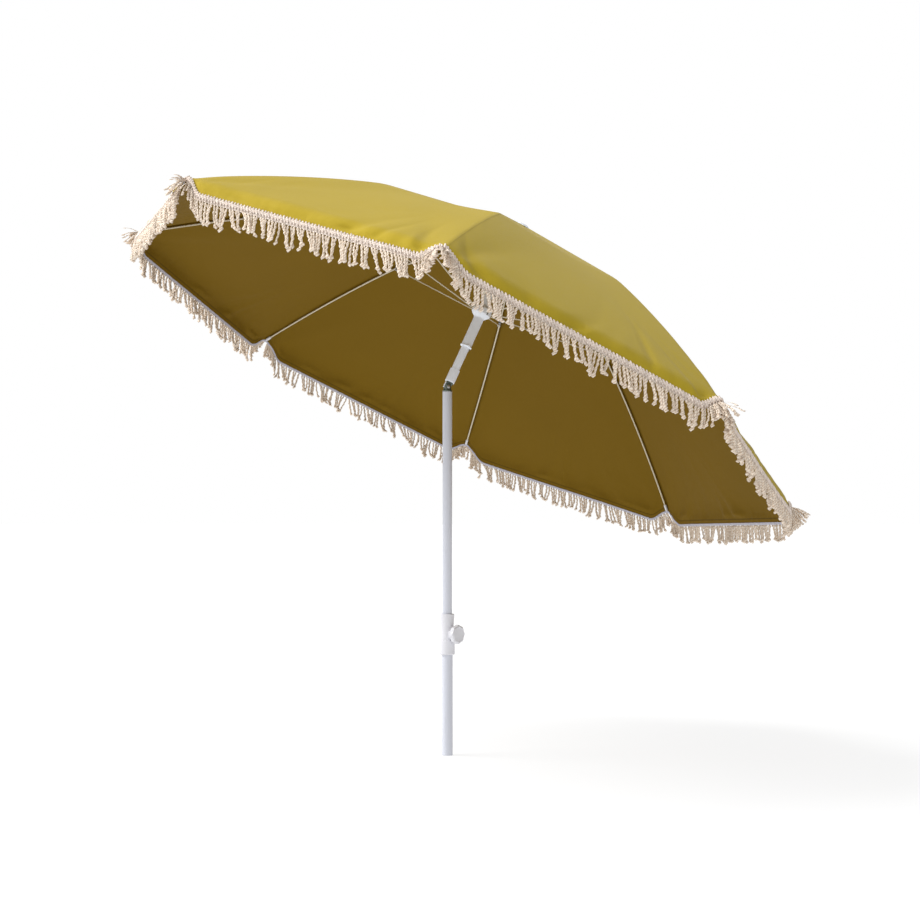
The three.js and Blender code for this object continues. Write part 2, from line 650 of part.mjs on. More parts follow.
// How far across from the rib, -1 to 1, with more of the sheet's lines close to the rib.
function across(v) {
  const side = 2 * v - 1;
  return Math.sign(side) * Math.abs(side) ** COLUMN_SPREAD;
}

// How far the hem reaches past the line between two rib tips.
function hemLength(side) {
  const fromRib = Math.abs(side) * TIP_RADIUS * Math.sin(halfGore);
  const share = smooth(Math.min(1, fromRib / HEM_NOTCH_WIDTH));
  return HEM_BEYOND_TIP + (HEM_BEYOND_GORE - HEM_BEYOND_TIP) * share;
}

// A point on the fabric's middle surface: the gore is straight from a rib to its middle line.
function fabricPoint(radius, side) {
  const middle = radius * Math.cos(halfGore);
  const share = Math.abs(side);
  const x = radius + share * (middle * Math.cos(halfGore) - radius);
  const y = side * (middle * Math.sin(halfGore) - SEAM_GAP / Math.cos(halfGore));
  return new THREE.Vector3(x, y, fabricHeight(radius));
}

// The hem's direction at one place, part slope and part straight down, and the way out, square to it.
function hemDirections(side, down) {
  const tip = fabricPoint(TIP_RADIUS, side);
  const slope = fabricPoint(TIP_RADIUS + 1, side).sub(tip).normalize();
  const along = slope.multiplyScalar(1 - HEM_HANG).addScaledVector(down, HEM_HANG).normalize();
  const outward = new THREE.Vector3(tip.x, tip.y, 0).normalize();
  outward.addScaledVector(along, -outward.dot(along)).normalize();
  return { tip, along, outward };
}

// Straight down in a spoke's own frame, when the head is tilted.
function downAt(angle) {
  const down = new THREE.Vector3(Math.sin(TILT), 0, -Math.cos(TILT));
  return down.applyAxisAngle(new THREE.Vector3(0, 0, 1), -angle);
}

// The distances from the axis of the canopy's rows: the crown's flat, the straight stretch, the bend.
const canopyRadii = [FABRIC_INNER_RADIUS, FLAT_RADIUS];
for (let i = 0; i <= BENT_ROWS; i += 1) {
  canopyRadii.push(STRETCHER_REACH + ((TIP_RADIUS - STRETCHER_REACH) * i) / BENT_ROWS);
}

function canopySector(angle) {
  const down = downAt(angle);
  const canopyRows = canopyRadii.length - 1;
  const rows = canopyRows + HEM_ROWS;
  return sheet(rows, FABRIC_COLUMNS, (u, v, w) => {
    const side = across(v);
    const lift = (w - 0.5) * FABRIC_THICKNESS;
    const row = Math.round(u * rows);
    if (row <= canopyRows) {
      const point = fabricPoint(canopyRadii[row], side);
      point.z += ROOF_LIFT * lift;
      return point;
    }
    const { tip, along, outward } = hemDirections(side, down);
    const reach = (hemLength(side) * (row - canopyRows)) / HEM_ROWS;
    return tip.addScaledVector(along, reach).addScaledVector(outward, lift);
  });
}

// The braid lies on the outside of the hem, and the strands hang straight down from it.
function fringe(angle) {
  const down = downAt(angle);
  const offset = FABRIC_THICKNESS / 2 + CLEARANCE + FRINGE_THICKNESS / 2;
  return sheet(FRINGE_ROWS, FABRIC_COLUMNS, (u, v, w) => {
    const side = across(v);
    const { tip, along, outward } = hemDirections(side, down);
    const onBraid = Math.min(1, 2 * u);
    const hanging = Math.max(0, 2 * u - 1);
    const thickness = BRAID_THICKNESS + (FRINGE_THICKNESS - BRAID_THICKNESS) * hanging;
    return tip
      .addScaledVector(along, hemLength(side) - BRAID_WIDTH * (1 - onBraid))
      .addScaledVector(outward, offset + (w - 0.5) * thickness)
      .addScaledVector(down, hanging * FRINGE_DROP);
  });
}

for (let k = 0; k < RIB_COUNT; k += 1) {
  const angle = RIB_PHASE + (k * 2 * Math.PI) / RIB_COUNT;
  const number = k + 1;
  const spoke = new THREE.Group();
  spoke.rotation.z = angle;
  head.add(spoke);
  piece(spoke, `rib_${number}`, rib(), RIB_PAINT());
  piece(spoke, `stretcher_${number}`, stretcher(), RIB_PAINT());
  piece(spoke, `rib_tip_${number}`, tipCap(), WHITE_PLASTIC());
  piece(spoke, `canopy_${number}`, canopySector(angle), FABRIC());
  piece(spoke, `fringe_${number}`, fringe(angle), COTTON());
}

export default umbrella;
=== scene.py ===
"""A tilting beach umbrella: fringed canopy, eight ribs, tilt joint, height clamp and a two-part pole.

Everything is in metres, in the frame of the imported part: +Z up the pole, the origin under its middle.
"""

import json
import math
import random
from collections import Counter

import bmesh
import bpy
from mathutils import Matrix, Vector, noise


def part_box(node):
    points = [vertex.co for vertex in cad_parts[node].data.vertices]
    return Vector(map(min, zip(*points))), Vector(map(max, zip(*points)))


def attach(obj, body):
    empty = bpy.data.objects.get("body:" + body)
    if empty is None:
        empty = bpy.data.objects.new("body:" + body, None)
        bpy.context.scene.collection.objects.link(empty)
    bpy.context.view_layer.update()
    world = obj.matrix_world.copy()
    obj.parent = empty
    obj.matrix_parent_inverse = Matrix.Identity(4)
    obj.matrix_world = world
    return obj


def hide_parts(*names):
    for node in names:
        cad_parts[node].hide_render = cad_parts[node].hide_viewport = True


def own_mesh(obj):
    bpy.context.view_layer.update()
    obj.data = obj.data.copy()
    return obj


bl_info = {
    "name": "Beach Umbrella",
    "version": (1, 0, 0),
    "blender": (4, 5, 0),
    "location": "View3D > Sidebar > Umbrella",
    "description": "Builds a tilting beach umbrella with a fringed canopy round its packed frame",
    "category": "Add Mesh",
}

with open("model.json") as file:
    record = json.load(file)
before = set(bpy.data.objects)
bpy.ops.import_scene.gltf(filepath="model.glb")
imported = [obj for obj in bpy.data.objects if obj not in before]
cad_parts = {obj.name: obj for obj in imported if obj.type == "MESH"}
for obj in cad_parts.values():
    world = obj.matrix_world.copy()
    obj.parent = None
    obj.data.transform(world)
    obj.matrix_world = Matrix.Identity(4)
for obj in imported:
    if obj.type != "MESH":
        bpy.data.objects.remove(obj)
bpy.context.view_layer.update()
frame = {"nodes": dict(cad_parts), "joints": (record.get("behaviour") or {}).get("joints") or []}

MM = 0.001
TAU = 2 * math.pi


def joint(name):
    """The record's joint of that name."""
    return next(row for row in frame["joints"] if row["name"] == name)


# ---- the head's frame -------------------------------------------------------------------
PIVOT = Vector(joint("tilt")["pos_m"])
TILT = -math.radians(joint("tilt")["range_deg"][0])
HEAD = Matrix.Translation(PIVOT) @ Matrix.Rotation(TILT, 4, "Y")

# ---- ribs and canopy, in the head's frame -----------------------------------------------
RIB_COUNT = 8
RIB_PHASE = math.radians(20)
HALF_GORE = math.pi / RIB_COUNT
TIP_RADIUS = 826 * MM
TIP_HEIGHT = 57 * MM
APEX_HEIGHT = 431 * MM
RIB_BEND = 1.46
STRETCHER_REACH = 395 * MM
FLAT_RADIUS = 27 * MM
INNER_RADIUS = 13 * MM
PROFILE_SOFTENING = 14 * MM
RIDGE_RADIUS = 5 * MM
CLOTH_SAG = 5 * MM

HEM_BEYOND_TIP = 6 * MM
HEM_BEYOND_GORE = 42 * MM
HEM_HANG = 0.65
HEM_NOTCH_WIDTH = 60 * MM
HEM_BEND = 14 * MM
COLUMNS = 144
COLUMN_SPREAD = 1.4
ROOF_ROWS = 84
HEM_ROWS = 14

SWELL_SIZE = 5.0
SWELL_DEPTH = 3.2 * MM
SWELL_SEED = Vector((3.1, 7.7, 0.4))
SWELL_FROM_RIB = 90 * MM
SWELL_FROM_AXIS = 60 * MM
SWELL_RISE = 200 * MM
PUCKERS = 208
PUCKER_DEPTH = 1.2 * MM
PUCKER_REACH = 22 * MM
DRAG_DEPTH = 9 * MM
DRAG_REACH = 60 * MM
DRAG_SLANT = 0.9
DRAG_RISE = 18 * MM
FOLD_DEPTH = 6 * MM
FOLD_FROM_RIB = 26 * MM
FOLD_WIDTH = 20 * MM
FOLD_REACH = 190 * MM
WELT_HALF_WIDTH = 4.5 * MM
WELT_HEIGHT = 0.5 * MM
WELT_EDGE = 1.5 * MM
HEM_SIDE_STEP = 0.004

# ---- ribs and stretchers ----------------------------------------------------------------
RIB_RADIUS = 2 * MM
RIB_DROP = 6.4 * MM
RIB_END = 818.7 * MM
RING_RADIUS = 16 * MM
RING_WIRE_RADIUS = 1 * MM
CROWN_RADIUS = 23 * MM
CROWN_PIVOT_HEIGHT = 410.987 * MM
RUNNER_PIVOT_HEIGHT = 197 * MM
STRETCHER_RADIUS = 1.6 * MM
CLIP_DROP = 8 * MM
CLIP_LENGTH = 22 * MM
CLIP_EAR = 1.6 * MM
CLIP_PIN_RADIUS = 1.3 * MM
TIP_CAP_RADIUS = 3.5 * MM
TIP_CAP_LENGTH = 16 * MM
EYE_RADIUS = 3 * MM

# ---- head tube and runner ---------------------------------------------------------------
HEAD_TUBE_RADIUS = 9.5 * MM
HEAD_TUBE_WALL = 1.2 * MM
HEAD_TUBE_RISE = 12 * MM
HEAD_TUBE_TOP = 416.687 * MM
COLLAR_RISE = 12 * MM
COLLAR_LENGTH = 33 * MM
COLLAR_BORE = 9.9 * MM
COLLAR_RADIUS = 11.5 * MM
RUNNER_BOTTOM = 104 * MM
RUNNER_BORE = 9.9 * MM
RUNNER_RADIUS = 12.1 * MM
RUNNER_FLANGE_RADIUS = 14 * MM
HUB_HALF_HEIGHT = 8.5 * MM
GUARD_INNER_RADIUS = 8.4 * MM
GUARD_DROP = 4 * MM
GUARD_HALF_ANGLE = math.radians(24)

# ---- clamp ------------------------------------------------------------------------------
KNOB_Z = 278 * MM
KNOB_ANGLE = math.radians(-60)
KNOB_BACK = 21.8 * MM
KNOB_THICKNESS = 14 * MM
KNOB_RADIUS = 22.5 * MM
KNOB_LOBES = 8
KNOB_LOBE_DEPTH = 0.075

# ---- braid and fringe -------------------------------------------------------------------
BRAID_WIDTH = 13.5 * MM
BRAID_OFFSET = 2.4 * MM
CORD_PITCH = 3.9 * MM
CORD_RADIUS = 1.95 * MM
LOOP_RISE = 3.4 * MM
RAISED_GIRTH = 1.2
STRAND_PITCH = 7.8 * MM
STRAND_LENGTH = 50 * MM
STRAND_RADIUS = 2.6 * MM
STRAND_BULB = 4.9 * MM
BULB_PLACE = 0.91
BULB_SPREAD = 0.09
STRAND_RINGS = 12
STRAND_KNUCKLE = 0.2
STRAND_WIND = 0.8 * MM
TUFT_WIDTH = 42 * MM


def smooth(t):
    """An even rise from 0 to 1."""
    t = min(1.0, max(0.0, t))
    return t * t * (3 - 2 * t)


# ---- the shape of the cloth -------------------------------------------------------------
def bent_height(radius):
    """Height of the bent stretch of a rib's cloth over the tilt pin."""
    return APEX_HEIGHT - (APEX_HEIGHT - TIP_HEIGHT) * (radius / TIP_RADIUS) ** RIB_BEND


def rib_line(radius):
    """Height of the cloth over a rib: flat on the crown, straight to the stretcher, then bent."""
    if radius > TIP_RADIUS:
        slope = (APEX_HEIGHT - TIP_HEIGHT) * RIB_BEND / TIP_RADIUS
        return TIP_HEIGHT - slope * (radius - TIP_RADIUS)
    if radius > STRETCHER_REACH:
        return bent_height(radius)
    share = max(radius, FLAT_RADIUS) / STRETCHER_REACH
    return APEX_HEIGHT - (APEX_HEIGHT - bent_height(STRETCHER_REACH)) * share


def cloth_height(radius):
    """The rib line with its two corners eased, as cloth eases them."""
    ease = PROFILE_SOFTENING
    return (rib_line(radius - ease) + 2 * rib_line(radius) + rib_line(radius + ease)) / 4


def hem_reach(side):
    """How far the hem hangs past the line between two rib tips."""
    from_rib = abs(side) * TIP_RADIUS * math.sin(HALF_GORE)
    share = smooth(from_rib / HEM_NOTCH_WIDTH)
    return HEM_BEYOND_TIP + (HEM_BEYOND_GORE - HEM_BEYOND_TIP) * share


class Sector:
    """One rib's share of the cloth, half a gore to each side, in the rib's own frame.

    side runs from -1 to 1 between the middles of the two gores, and reach is the distance past
    the tip line, negative on the roof.
    """

    def __init__(self, number):
        self.number = number
        self.arm = f"rib_arm_{number}"
        self.turn = Matrix.Rotation(RIB_PHASE + (number - 1) * TAU / RIB_COUNT, 4, "Z")
        self.place = HEAD @ self.turn
        self.down = self.place.to_3x3().inverted() @ Vector((0, 0, -1))
        self.tangent = self.place.to_3x3() @ Vector((0, 1, 0))
        chance = random.Random(100 + number)
        self.folds = {-1: chance.uniform(0.3, 1.0), 1: chance.uniform(0.3, 1.0)}
        self.hems = {}

    def roof(self, radius, side):
        """The taut cloth between two ribs, without its creases."""
        middle = radius * math.cos(HALF_GORE)
        ridge = RIDGE_RADIUS / (middle * math.sin(HALF_GORE))
        share = (math.hypot(side, ridge) - ridge) / (math.hypot(1, ridge) - ridge)
        sag = CLOTH_SAG * math.sin(math.pi * min(1.0, radius / TIP_RADIUS)) * share * (2 - share)
        x = radius + share * (middle * math.cos(HALF_GORE) - radius)
        y = side * middle * math.sin(HALF_GORE)
        return Vector((x, y, cloth_height(radius) - sag))

    def hem(self, side):
        """The tip line's point, the hem's direction down and outwards, and the roof's point above it."""
        key = round(side, 6)
        if key not in self.hems:
            tip = self.roof(TIP_RADIUS, side)
            slope = (self.roof(TIP_RADIUS + MM, side) - tip).normalized()
            along = (slope * (1 - HEM_HANG) + self.down * HEM_HANG).normalized()
            outward = Vector((tip.x, tip.y, 0)).normalized()
            outward = (outward - along * outward.dot(along)).normalized()
            self.hems[key] = tip, along, outward, self.roof(TIP_RADIUS - HEM_BEND, side)
        return self.hems[key]

    def bare(self, side, reach):
        """A point of the cloth and the way out of it there, without its creases."""
        tip, along, outward, above = self.hem(side)
        if reach <= -HEM_BEND:
            return self.roof(TIP_RADIUS + reach, side), Vector((0, 0, 1))
        if reach >= HEM_BEND:
            return tip + along * reach, outward
        t = (reach + HEM_BEND) / (2 * HEM_BEND)
        point = above * (1 - t) ** 2 + tip * (2 * t * (1 - t)) + (tip + along * HEM_BEND) * t ** 2
        return point, Vector((0, 0, 1)).lerp(outward, t).normalized()

    def creases(self, point, side, reach):
        """How far the cloth stands out of its taut shape."""
        at_head = self.turn @ Vector((point.x, point.y, 0))
        around = math.atan2(at_head.y, at_head.x) % TAU
        from_rib = abs(point.y)
        from_hem = hem_reach(side) - reach
        swell = self.swell(at_head, from_rib, reach)
        welt = WELT_HEIGHT * (1 - smooth((from_rib - WELT_HALF_WIDTH) / WELT_EDGE))
        return (
            swell + self.pucker(around, from_hem) + self.fold(point.y, side, reach)
            + self.drag(around, from_hem) + welt
        )

    def swell(self, at_head, from_rib, reach):
        """Slow swells that fade towards the ribs and the crown."""
        radius = TIP_RADIUS + min(0.0, reach)
        height = noise.noise(at_head * SWELL_SIZE + SWELL_SEED) * SWELL_DEPTH
        return height * (smooth(from_rib / SWELL_FROM_RIB) * smooth((radius - SWELL_FROM_AXIS) / SWELL_RISE))

    def pucker(self, around, from_hem):
        """Small gathers along the hem's seam, uneven in place and strength."""
        unit = Vector((math.cos(around), math.sin(around), 0))
        wander = 7 * noise.noise(unit * 11) + 2 * noise.noise(unit * 40)
        strength = 0.6 + 0.8 * noise.noise(unit * 17 + Vector((0, 0, 5)))
        height = PUCKER_DEPTH * strength * math.sin(PUCKERS * around + wander)
        return height * math.exp(-max(0.0, from_hem) / PUCKER_REACH)

    def fold(self, across, side, reach):
        """One soft fold to each side of the rib, which runs up from the tip and away from the rib."""
        up_from_tip = max(0.0, -reach)
        line = FOLD_FROM_RIB + 0.32 * up_from_tip
        width = FOLD_WIDTH + 0.10 * up_from_tip
        height = -FOLD_DEPTH * self.folds[1 if across > 0 else -1]
        height *= math.exp(-(((abs(across) - line) / width) ** 2) - up_from_tip / FOLD_REACH)
        return height * max(0.0, 1 - side * side)

    def drag(self, around, from_hem):
        """Dents that the hem's weight draws into the cloth above the braid."""
        along_hem = TIP_RADIUS * around + DRAG_SLANT * from_hem * math.sin(9 * around)
        dent = noise.noise(Vector((along_hem * 19, from_hem * 5, 2.5)))
        height = DRAG_DEPTH * (dent - 0.5 * abs(dent)) * smooth((from_hem - BRAID_WIDTH) / DRAG_RISE)
        return height * math.exp(-max(0.0, from_hem - 2 * BRAID_WIDTH) / DRAG_REACH)

    def cloth(self, side, reach):
        """A point of the creased cloth."""
        point, out = self.bare(side, reach)
        return point + out * self.creases(point, side, reach)

    def hem_frame(self, side, reach):
        """The cloth's point near the hem with its directions along the hem, down and outwards."""
        here = self.cloth(side, reach)
        beside = side + HEM_SIDE_STEP
        along = self.cloth(beside, reach + hem_reach(beside) - hem_reach(side)) - here
        down = self.cloth(side, reach + MM) - here
        out = along.cross(down).normalized()
        if out.dot(self.hem(side)[2]) < 0:
            out.negate()
        return here, along.normalized(), down.normalized(), out


SECTORS = [Sector(number + 1) for number in range(RIB_COUNT)]


# ---- materials --------------------------------------------------------------------------
class Signal:
    """A number that varies over a surface. Arithmetic on it adds Math nodes."""

    def __init__(self, finish, socket):
        self.finish = finish
        self.socket = socket

    def math(self, operation, *terms):
        inputs = dict(enumerate(terms))
        return self.finish.node("ShaderNodeMath", {"operation": operation}, inputs)

    def __add__(self, other):
        return self.math("ADD", self, other)

    def __radd__(self, other):
        return self.math("ADD", other, self)

    def __sub__(self, other):
        return self.math("SUBTRACT", self, other)

    def __rsub__(self, other):
        return self.math("SUBTRACT", other, self)

    def __mul__(self, other):
        return self.math("MULTIPLY", self, other)

    def __rmul__(self, other):
        return self.math("MULTIPLY", other, self)

    def __truediv__(self, other):
        return self.math("DIVIDE", self, other)

    def __abs__(self):
        return self.math("ABSOLUTE", self)

    def sine(self):
        return self.math("SINE", self)

    def over(self, edge):
        """1 where the number is over the edge."""
        return self.math("GREATER_THAN", self, edge)

    def at_most_one(self):
        return self.math("MINIMUM", self, 1.0)


class Finish:
    """One procedural material, built round its main shader."""

    def __init__(self, name, **constants):
        self.material = bpy.data.materials.new(name)
        self.material.use_nodes = True
        self.tree = self.material.node_tree
        self.shader = self.tree.nodes["Principled BSDF"]
        for socket, value in constants.items():
            self.feed(self.shader.inputs[socket.replace("_", " ")], value)

    def feed(self, socket, value):
        """Links a signal to a socket, or sets a constant on it."""
        if isinstance(value, Signal):
            self.tree.links.new(value.socket, socket)
        elif socket.type == "RGBA":
            socket.default_value = (*value[:3], 1)
        else:
            socket.default_value = value

    def node(self, kind, settings=None, inputs=None, output=0):
        """Adds a node with its settings, then feeds its sockets, and gives one output."""
        node = self.tree.nodes.new(kind)
        for name, value in (settings or {}).items():
            if name == "stops":
                ramp = node.color_ramp
                ramp.elements[0].position, ramp.elements[-1].position = value[0][0], value[-1][0]
                ramp.elements[0].color, ramp.elements[-1].color = (*value[0][1], 1), (*value[-1][1], 1)
                for position, colour in value[1:-1]:
                    ramp.elements.new(position).color = (*colour, 1)
            else:
                setattr(node, name, value)
        for key, value in (inputs or {}).items():
            self.feed(node.inputs[key], value)
        return Signal(self, node.outputs[output])

    def place(self):
        """Object coordinates."""
        return self.node("ShaderNodeTexCoord", output="Object")

    def noise(self, scale, detail=3.0, stretch=(1, 1, 1)):
        """Noise from 0 to 1 over the piece, stretched along an axis by a small factor."""
        at = self.node("ShaderNodeMapping", None, {"Vector": self.place(), "Scale": stretch})
        return self.node("ShaderNodeTexNoise", None, {"Vector": at, "Scale": scale, "Detail": detail})

    def attribute(self, name):
        return self.node("ShaderNodeAttribute", {"attribute_name": name}, output="Fac")

    def run_of_cloth(self):
        """The two directions of the piece's own UV map."""
        at = self.node("ShaderNodeUVMap", {"uv_map": "UVMap"})
        return [self.node("ShaderNodeSeparateXYZ", None, {0: at}, output=i) for i in (0, 1)]

    def mix(self, share, low, high):
        """Blends two colours."""
        inputs = {0: share, 6: low, 7: high}
        return self.node("ShaderNodeMix", {"data_type": "RGBA"}, inputs, output=2)

    def set(self, **signals):
        for socket, value in signals.items():
            self.feed(self.shader.inputs[socket.replace("_", " ")], value)

    def bump(self, height, distance, strength=1.0):
        inputs = {"Height": height, "Distance": distance, "Strength": strength}
        self.set(Normal=self.node("ShaderNodeBump", None, inputs))


def shade(colour, factor):
    """A lighter or darker version of a colour."""
    return tuple(min(1.0, part * factor) for part in colour[:3])


def cloth_finish(name, colour, sheen):
    """Plain-woven polyester: fine weave, slubs, faint blotches, stitched seams and a stitched hem, with
    painted shade along the seams and a painted shadow above the braid.
    """
    finish = Finish(name, Sheen_Weight=sheen, Sheen_Roughness=0.45, Specular_IOR_Level=0.12)
    across, along = finish.run_of_cloth()
    thread = TAU / (0.62 * MM)
    weave = (across * thread).sine() * (along * thread).sine()
    slub = finish.noise(220, 2.0, (1, 1, 0.06))
    blotch = finish.noise(4.0, 2.0)
    from_rib, from_hem = finish.attribute("from_rib"), finish.attribute("from_hem")
    # Painted shade: a dark line along the welt's edge beside the rib, which also dents the bump.
    seam_dent_and_shade = (1.0 - (abs(from_rib - 5.0 * MM) / (1.1 * MM)).at_most_one()) * 0.75
    stitch_run = (along * (TAU / (3.2 * MM))).sine().over(-0.35)
    rib_stitch = (1.0 - (abs(from_rib - 2.4 * MM) / (0.45 * MM)).at_most_one()) * stitch_run
    cross_run = (across * (TAU / (3.2 * MM))).sine().over(-0.35)
    hem_stitch = (1.0 - (abs(from_hem - 16.5 * MM) / (0.5 * MM)).at_most_one()) * cross_run
    stitches = (rib_stitch + hem_stitch).at_most_one()
    # Painted shadow: a dark band just above the braid, where the braid shades the cloth.
    braid_shadow = 1.0 - (abs(from_hem - 14.5 * MM) / (2.4 * MM)).at_most_one()
    tone = finish.mix(blotch, shade(colour, 0.93), shade(colour, 1.07))
    tone = finish.mix(slub * 0.25, tone, shade(colour, 0.80))
    # Painted shade along the seams and a painted shadow above the braid darken the cloth here.
    tone = finish.mix((seam_dent_and_shade * 0.45 + braid_shadow * 0.8).at_most_one(), tone, shade(colour, 0.4))
    tone = finish.mix(stitches * 0.7, tone, shade(colour, 1.35))
    finish.set(Base_Color=tone, Roughness=0.68 + 0.16 * slub)
    finish.bump(weave * 0.35 + slub * 0.5 + stitches * 3.0 - seam_dent_and_shade * 2.0, 0.12 * MM, 0.6)
    return finish.material


def cotton_finish(name, colour, ply_shade_and_fibre, twists, depth):
    """Soft twisted cotton yarn: slanted plies with painted shade in the grooves between them, loose fibre
    and a tone of its own for each strand.
    """
    finish = Finish(name, Sheen_Weight=0.35, Sheen_Roughness=0.6, Specular_IOR_Level=0.15)
    around, along = finish.run_of_cloth()
    plies = ((around + along * twists) * TAU).sine()
    groove = abs(plies)
    fibre = finish.noise(900, 2.0)
    own = finish.attribute("own_tone")
    tone = finish.mix(own, shade(colour, 0.8), shade(colour, 1.06))
    # Painted shade: the grooves between the plies darken towards the shade colour, as far as depth says.
    tone = finish.mix((1.0 - groove) * depth, tone, ply_shade_and_fibre)
    # Random fibre flecks take the same darker colour.
    tone = finish.mix(fibre * 0.12, tone, ply_shade_and_fibre)
    finish.set(Base_Color=tone, Roughness=0.88 + 0.1 * fibre)
    finish.bump(groove + fibre * 0.3, 0.7 * MM, 0.8)
    return finish.material


def tape_finish(name, colour):
    """Woven twill tape with slanted ribs."""
    finish = Finish(name, Sheen_Weight=0.2, Specular_IOR_Level=0.2)
    across, along = finish.run_of_cloth()
    twill = ((across + along) * (TAU / (0.9 * MM))).sine()
    worn = finish.noise(60)
    finish.set(
        Base_Color=finish.mix(worn, shade(colour, 0.88), shade(colour, 1.08)),
        Roughness=0.8 + 0.1 * worn,
    )
    finish.bump(twill, 0.1 * MM, 0.6)
    return finish.material


def paint_finish(name, colour, roughness, peel):
    """Powder coat: faint orange peel, soft handling marks and a slightly uneven gloss."""
    finish = Finish(name, Specular_IOR_Level=0.5, Coat_Roughness=0.25)
    skin = finish.noise(900, 2.0)
    handled = finish.noise(14, 5.0, (1, 1, 0.35))
    scuff = finish.noise(160, 4.0, (1, 1, 0.08))
    marks = (scuff - 0.62).over(0.0) * (scuff - 0.62) * 5.0
    tone = finish.mix(handled, shade(colour, 0.95), shade(colour, 1.03))
    tone = finish.mix((marks * 0.5).at_most_one(), tone, shade(colour, 0.72))
    finish.set(
        Base_Color=tone,
        Roughness=roughness + 0.14 * handled + 0.2 * marks,
        Coat_Weight=0.35 - 0.2 * handled,
    )
    finish.bump(skin, 0.05 * MM, peel)
    return finish.material


def plastic_finish(name, colour):
    """Moulded white plastic: satin grain with a faint cloudiness."""
    finish = Finish(name, Specular_IOR_Level=0.45)
    grain = finish.noise(1400, 2.0)
    cloud = finish.noise(40, 3.0)
    finish.set(
        Base_Color=finish.mix(cloud, shade(colour, 0.95), shade(colour, 1.03)),
        Roughness=0.38 + 0.12 * cloud + 0.06 * grain,
    )
    finish.bump(grain, 0.05 * MM, 0.35)
    return finish.material


def metal_finish(name, colour, roughness, grain_scale):
    """Bare metal: fine grain, dull patches and a darker film in places."""
    finish = Finish(name, Metallic=1.0)
    grain = finish.noise(grain_scale, 3.0, (1, 1, 0.2))
    film = finish.noise(90, 4.0)
    finish.set(
        Base_Color=finish.mix(film, shade(colour, 0.72), shade(colour, 1.1)),
        Roughness=roughness + 0.25 * film + 0.1 * grain,
    )
    finish.bump(grain, 0.06 * MM, 0.5)
    return finish.material


def floor_finish(name, colour):
    """A matt studio floor that glows, so that it looks nearly white."""
    finish = Finish(name, Specular_IOR_Level=0.0, Emission_Color=(1, 1, 1), Emission_Strength=0.8)
    patch = finish.noise(0.8, 2.0)
    finish.set(Base_Color=finish.mix(patch, shade(colour, 0.995), colour), Roughness=0.95 - 0.05 * patch)
    return finish.material


def finish_named(name):
    """The umbrella's finish of that name, made the first time it is asked for.

    No finish has the name of a slot, because the frame's own solids hold materials by those names.
    """
    if name in bpy.data.materials:
        return bpy.data.materials[name]
    colours = bpy.context.scene.umbrella_colours
    makers = {
        "canopy_top": lambda: cloth_finish(name, colours.canopy_top, 0.08),
        # Painted shade: the under side gets a darker copy of the top's cloth colour, without sheen.
        "canopy_under": lambda: cloth_finish(name, colours.canopy_under, 0.0),
        "twisted_cotton": lambda: cotton_finish(name, colours.cotton, colours.cotton_shade, 4, 0.85),
        "braid_cotton": lambda: cotton_finish(name, colours.braid, colours.cotton_shade, 1.5, 0.4),
        "hem_tape": lambda: tape_finish(name, colours.tape),
        "pole_paint": lambda: paint_finish(name, colours.pole, 0.3, 0.4),
        "wire_paint": lambda: paint_finish(name, colours.rib, 0.38, 0.2),
        "moulded_plastic": lambda: plastic_finish(name, colours.plastic),
        # Painted light: the head's parts get a lighter white than the pole and the clamp.
        "lit_head_plastic": lambda: plastic_finish(name, colours.head),
        "lit_head_paint": lambda: paint_finish(name, colours.head, 0.3, 0.4),
        "cast_metal": lambda: metal_finish(name, colours.zinc, 0.35, 300),
        "plated_steel": lambda: metal_finish(name, colours.steel, 0.2, 700),
        "studio_floor": lambda: floor_finish(name, colours.floor),
    }
    return makers[name]()


# ---- mesh helpers -----------------------------------------------------------------------
def eased(points):
    """An outline with its corners rounded: each point is (radius, height) or has a rounding too."""
    closed = points[0][0] > 0 and points[-1][0] > 0
    count = len(points)
    outline = []
    for i, corner in enumerate(points):
        here = Vector(corner[:2])
        rounding = corner[2] if len(corner) > 2 else 0
        inner = closed or 0 < i < count - 1
        if not rounding or not inner:
            outline.append(here)
            continue
        before, after = Vector(points[i - 1][:2]), Vector(points[(i + 1) % count][:2])
        start = here + (before - here).normalized() * rounding
        end = here + (after - here).normalized() * rounding
        steps = 5
        for step in range(steps + 1):
            t = step / steps
            outline.append(start * (1 - t) ** 2 + here * (2 * t * (1 - t)) + end * t ** 2)
    return outline, closed


def turned(points, segments=64, place=None):
    """A piece turned round Z from an outline that starts and ends on the axis, or closes on itself."""
    outline, closed = eased(points)
    bm = bmesh.new()
    ring = [bm.verts.new((point.x, 0, point.y)) for point in outline]
    pairs = list(zip(ring, ring[1:]))
    if closed:
        pairs.append((ring[-1], ring[0]))
    edges = [bm.edges.new(pair) for pair in pairs]
    bmesh.ops.spin(
        bm, geom=ring + edges, cent=(0, 0, 0), axis=(0, 0, 1), angle=TAU, steps=segments, use_merge=True
    )
    bmesh.ops.remove_doubles(bm, verts=bm.verts, dist=1e-6)
    bmesh.ops.recalc_face_normals(bm, faces=bm.faces)
    if place:
        bm.transform(place)
    return bm


def rounded_block(size, centre, rounding, place=None):
    """A block with rounded edges."""
    bm = bmesh.new()
    bmesh.ops.create_cube(bm, size=1, matrix=Matrix.Translation(centre) @ Matrix.Diagonal((*size, 1)))
    bmesh.ops.bevel(
        bm, geom=bm.edges[:], offset=rounding, affect="EDGES", segments=3, profile=0.5, material=-1
    )
    if place:
        bm.transform(place)
    return bm


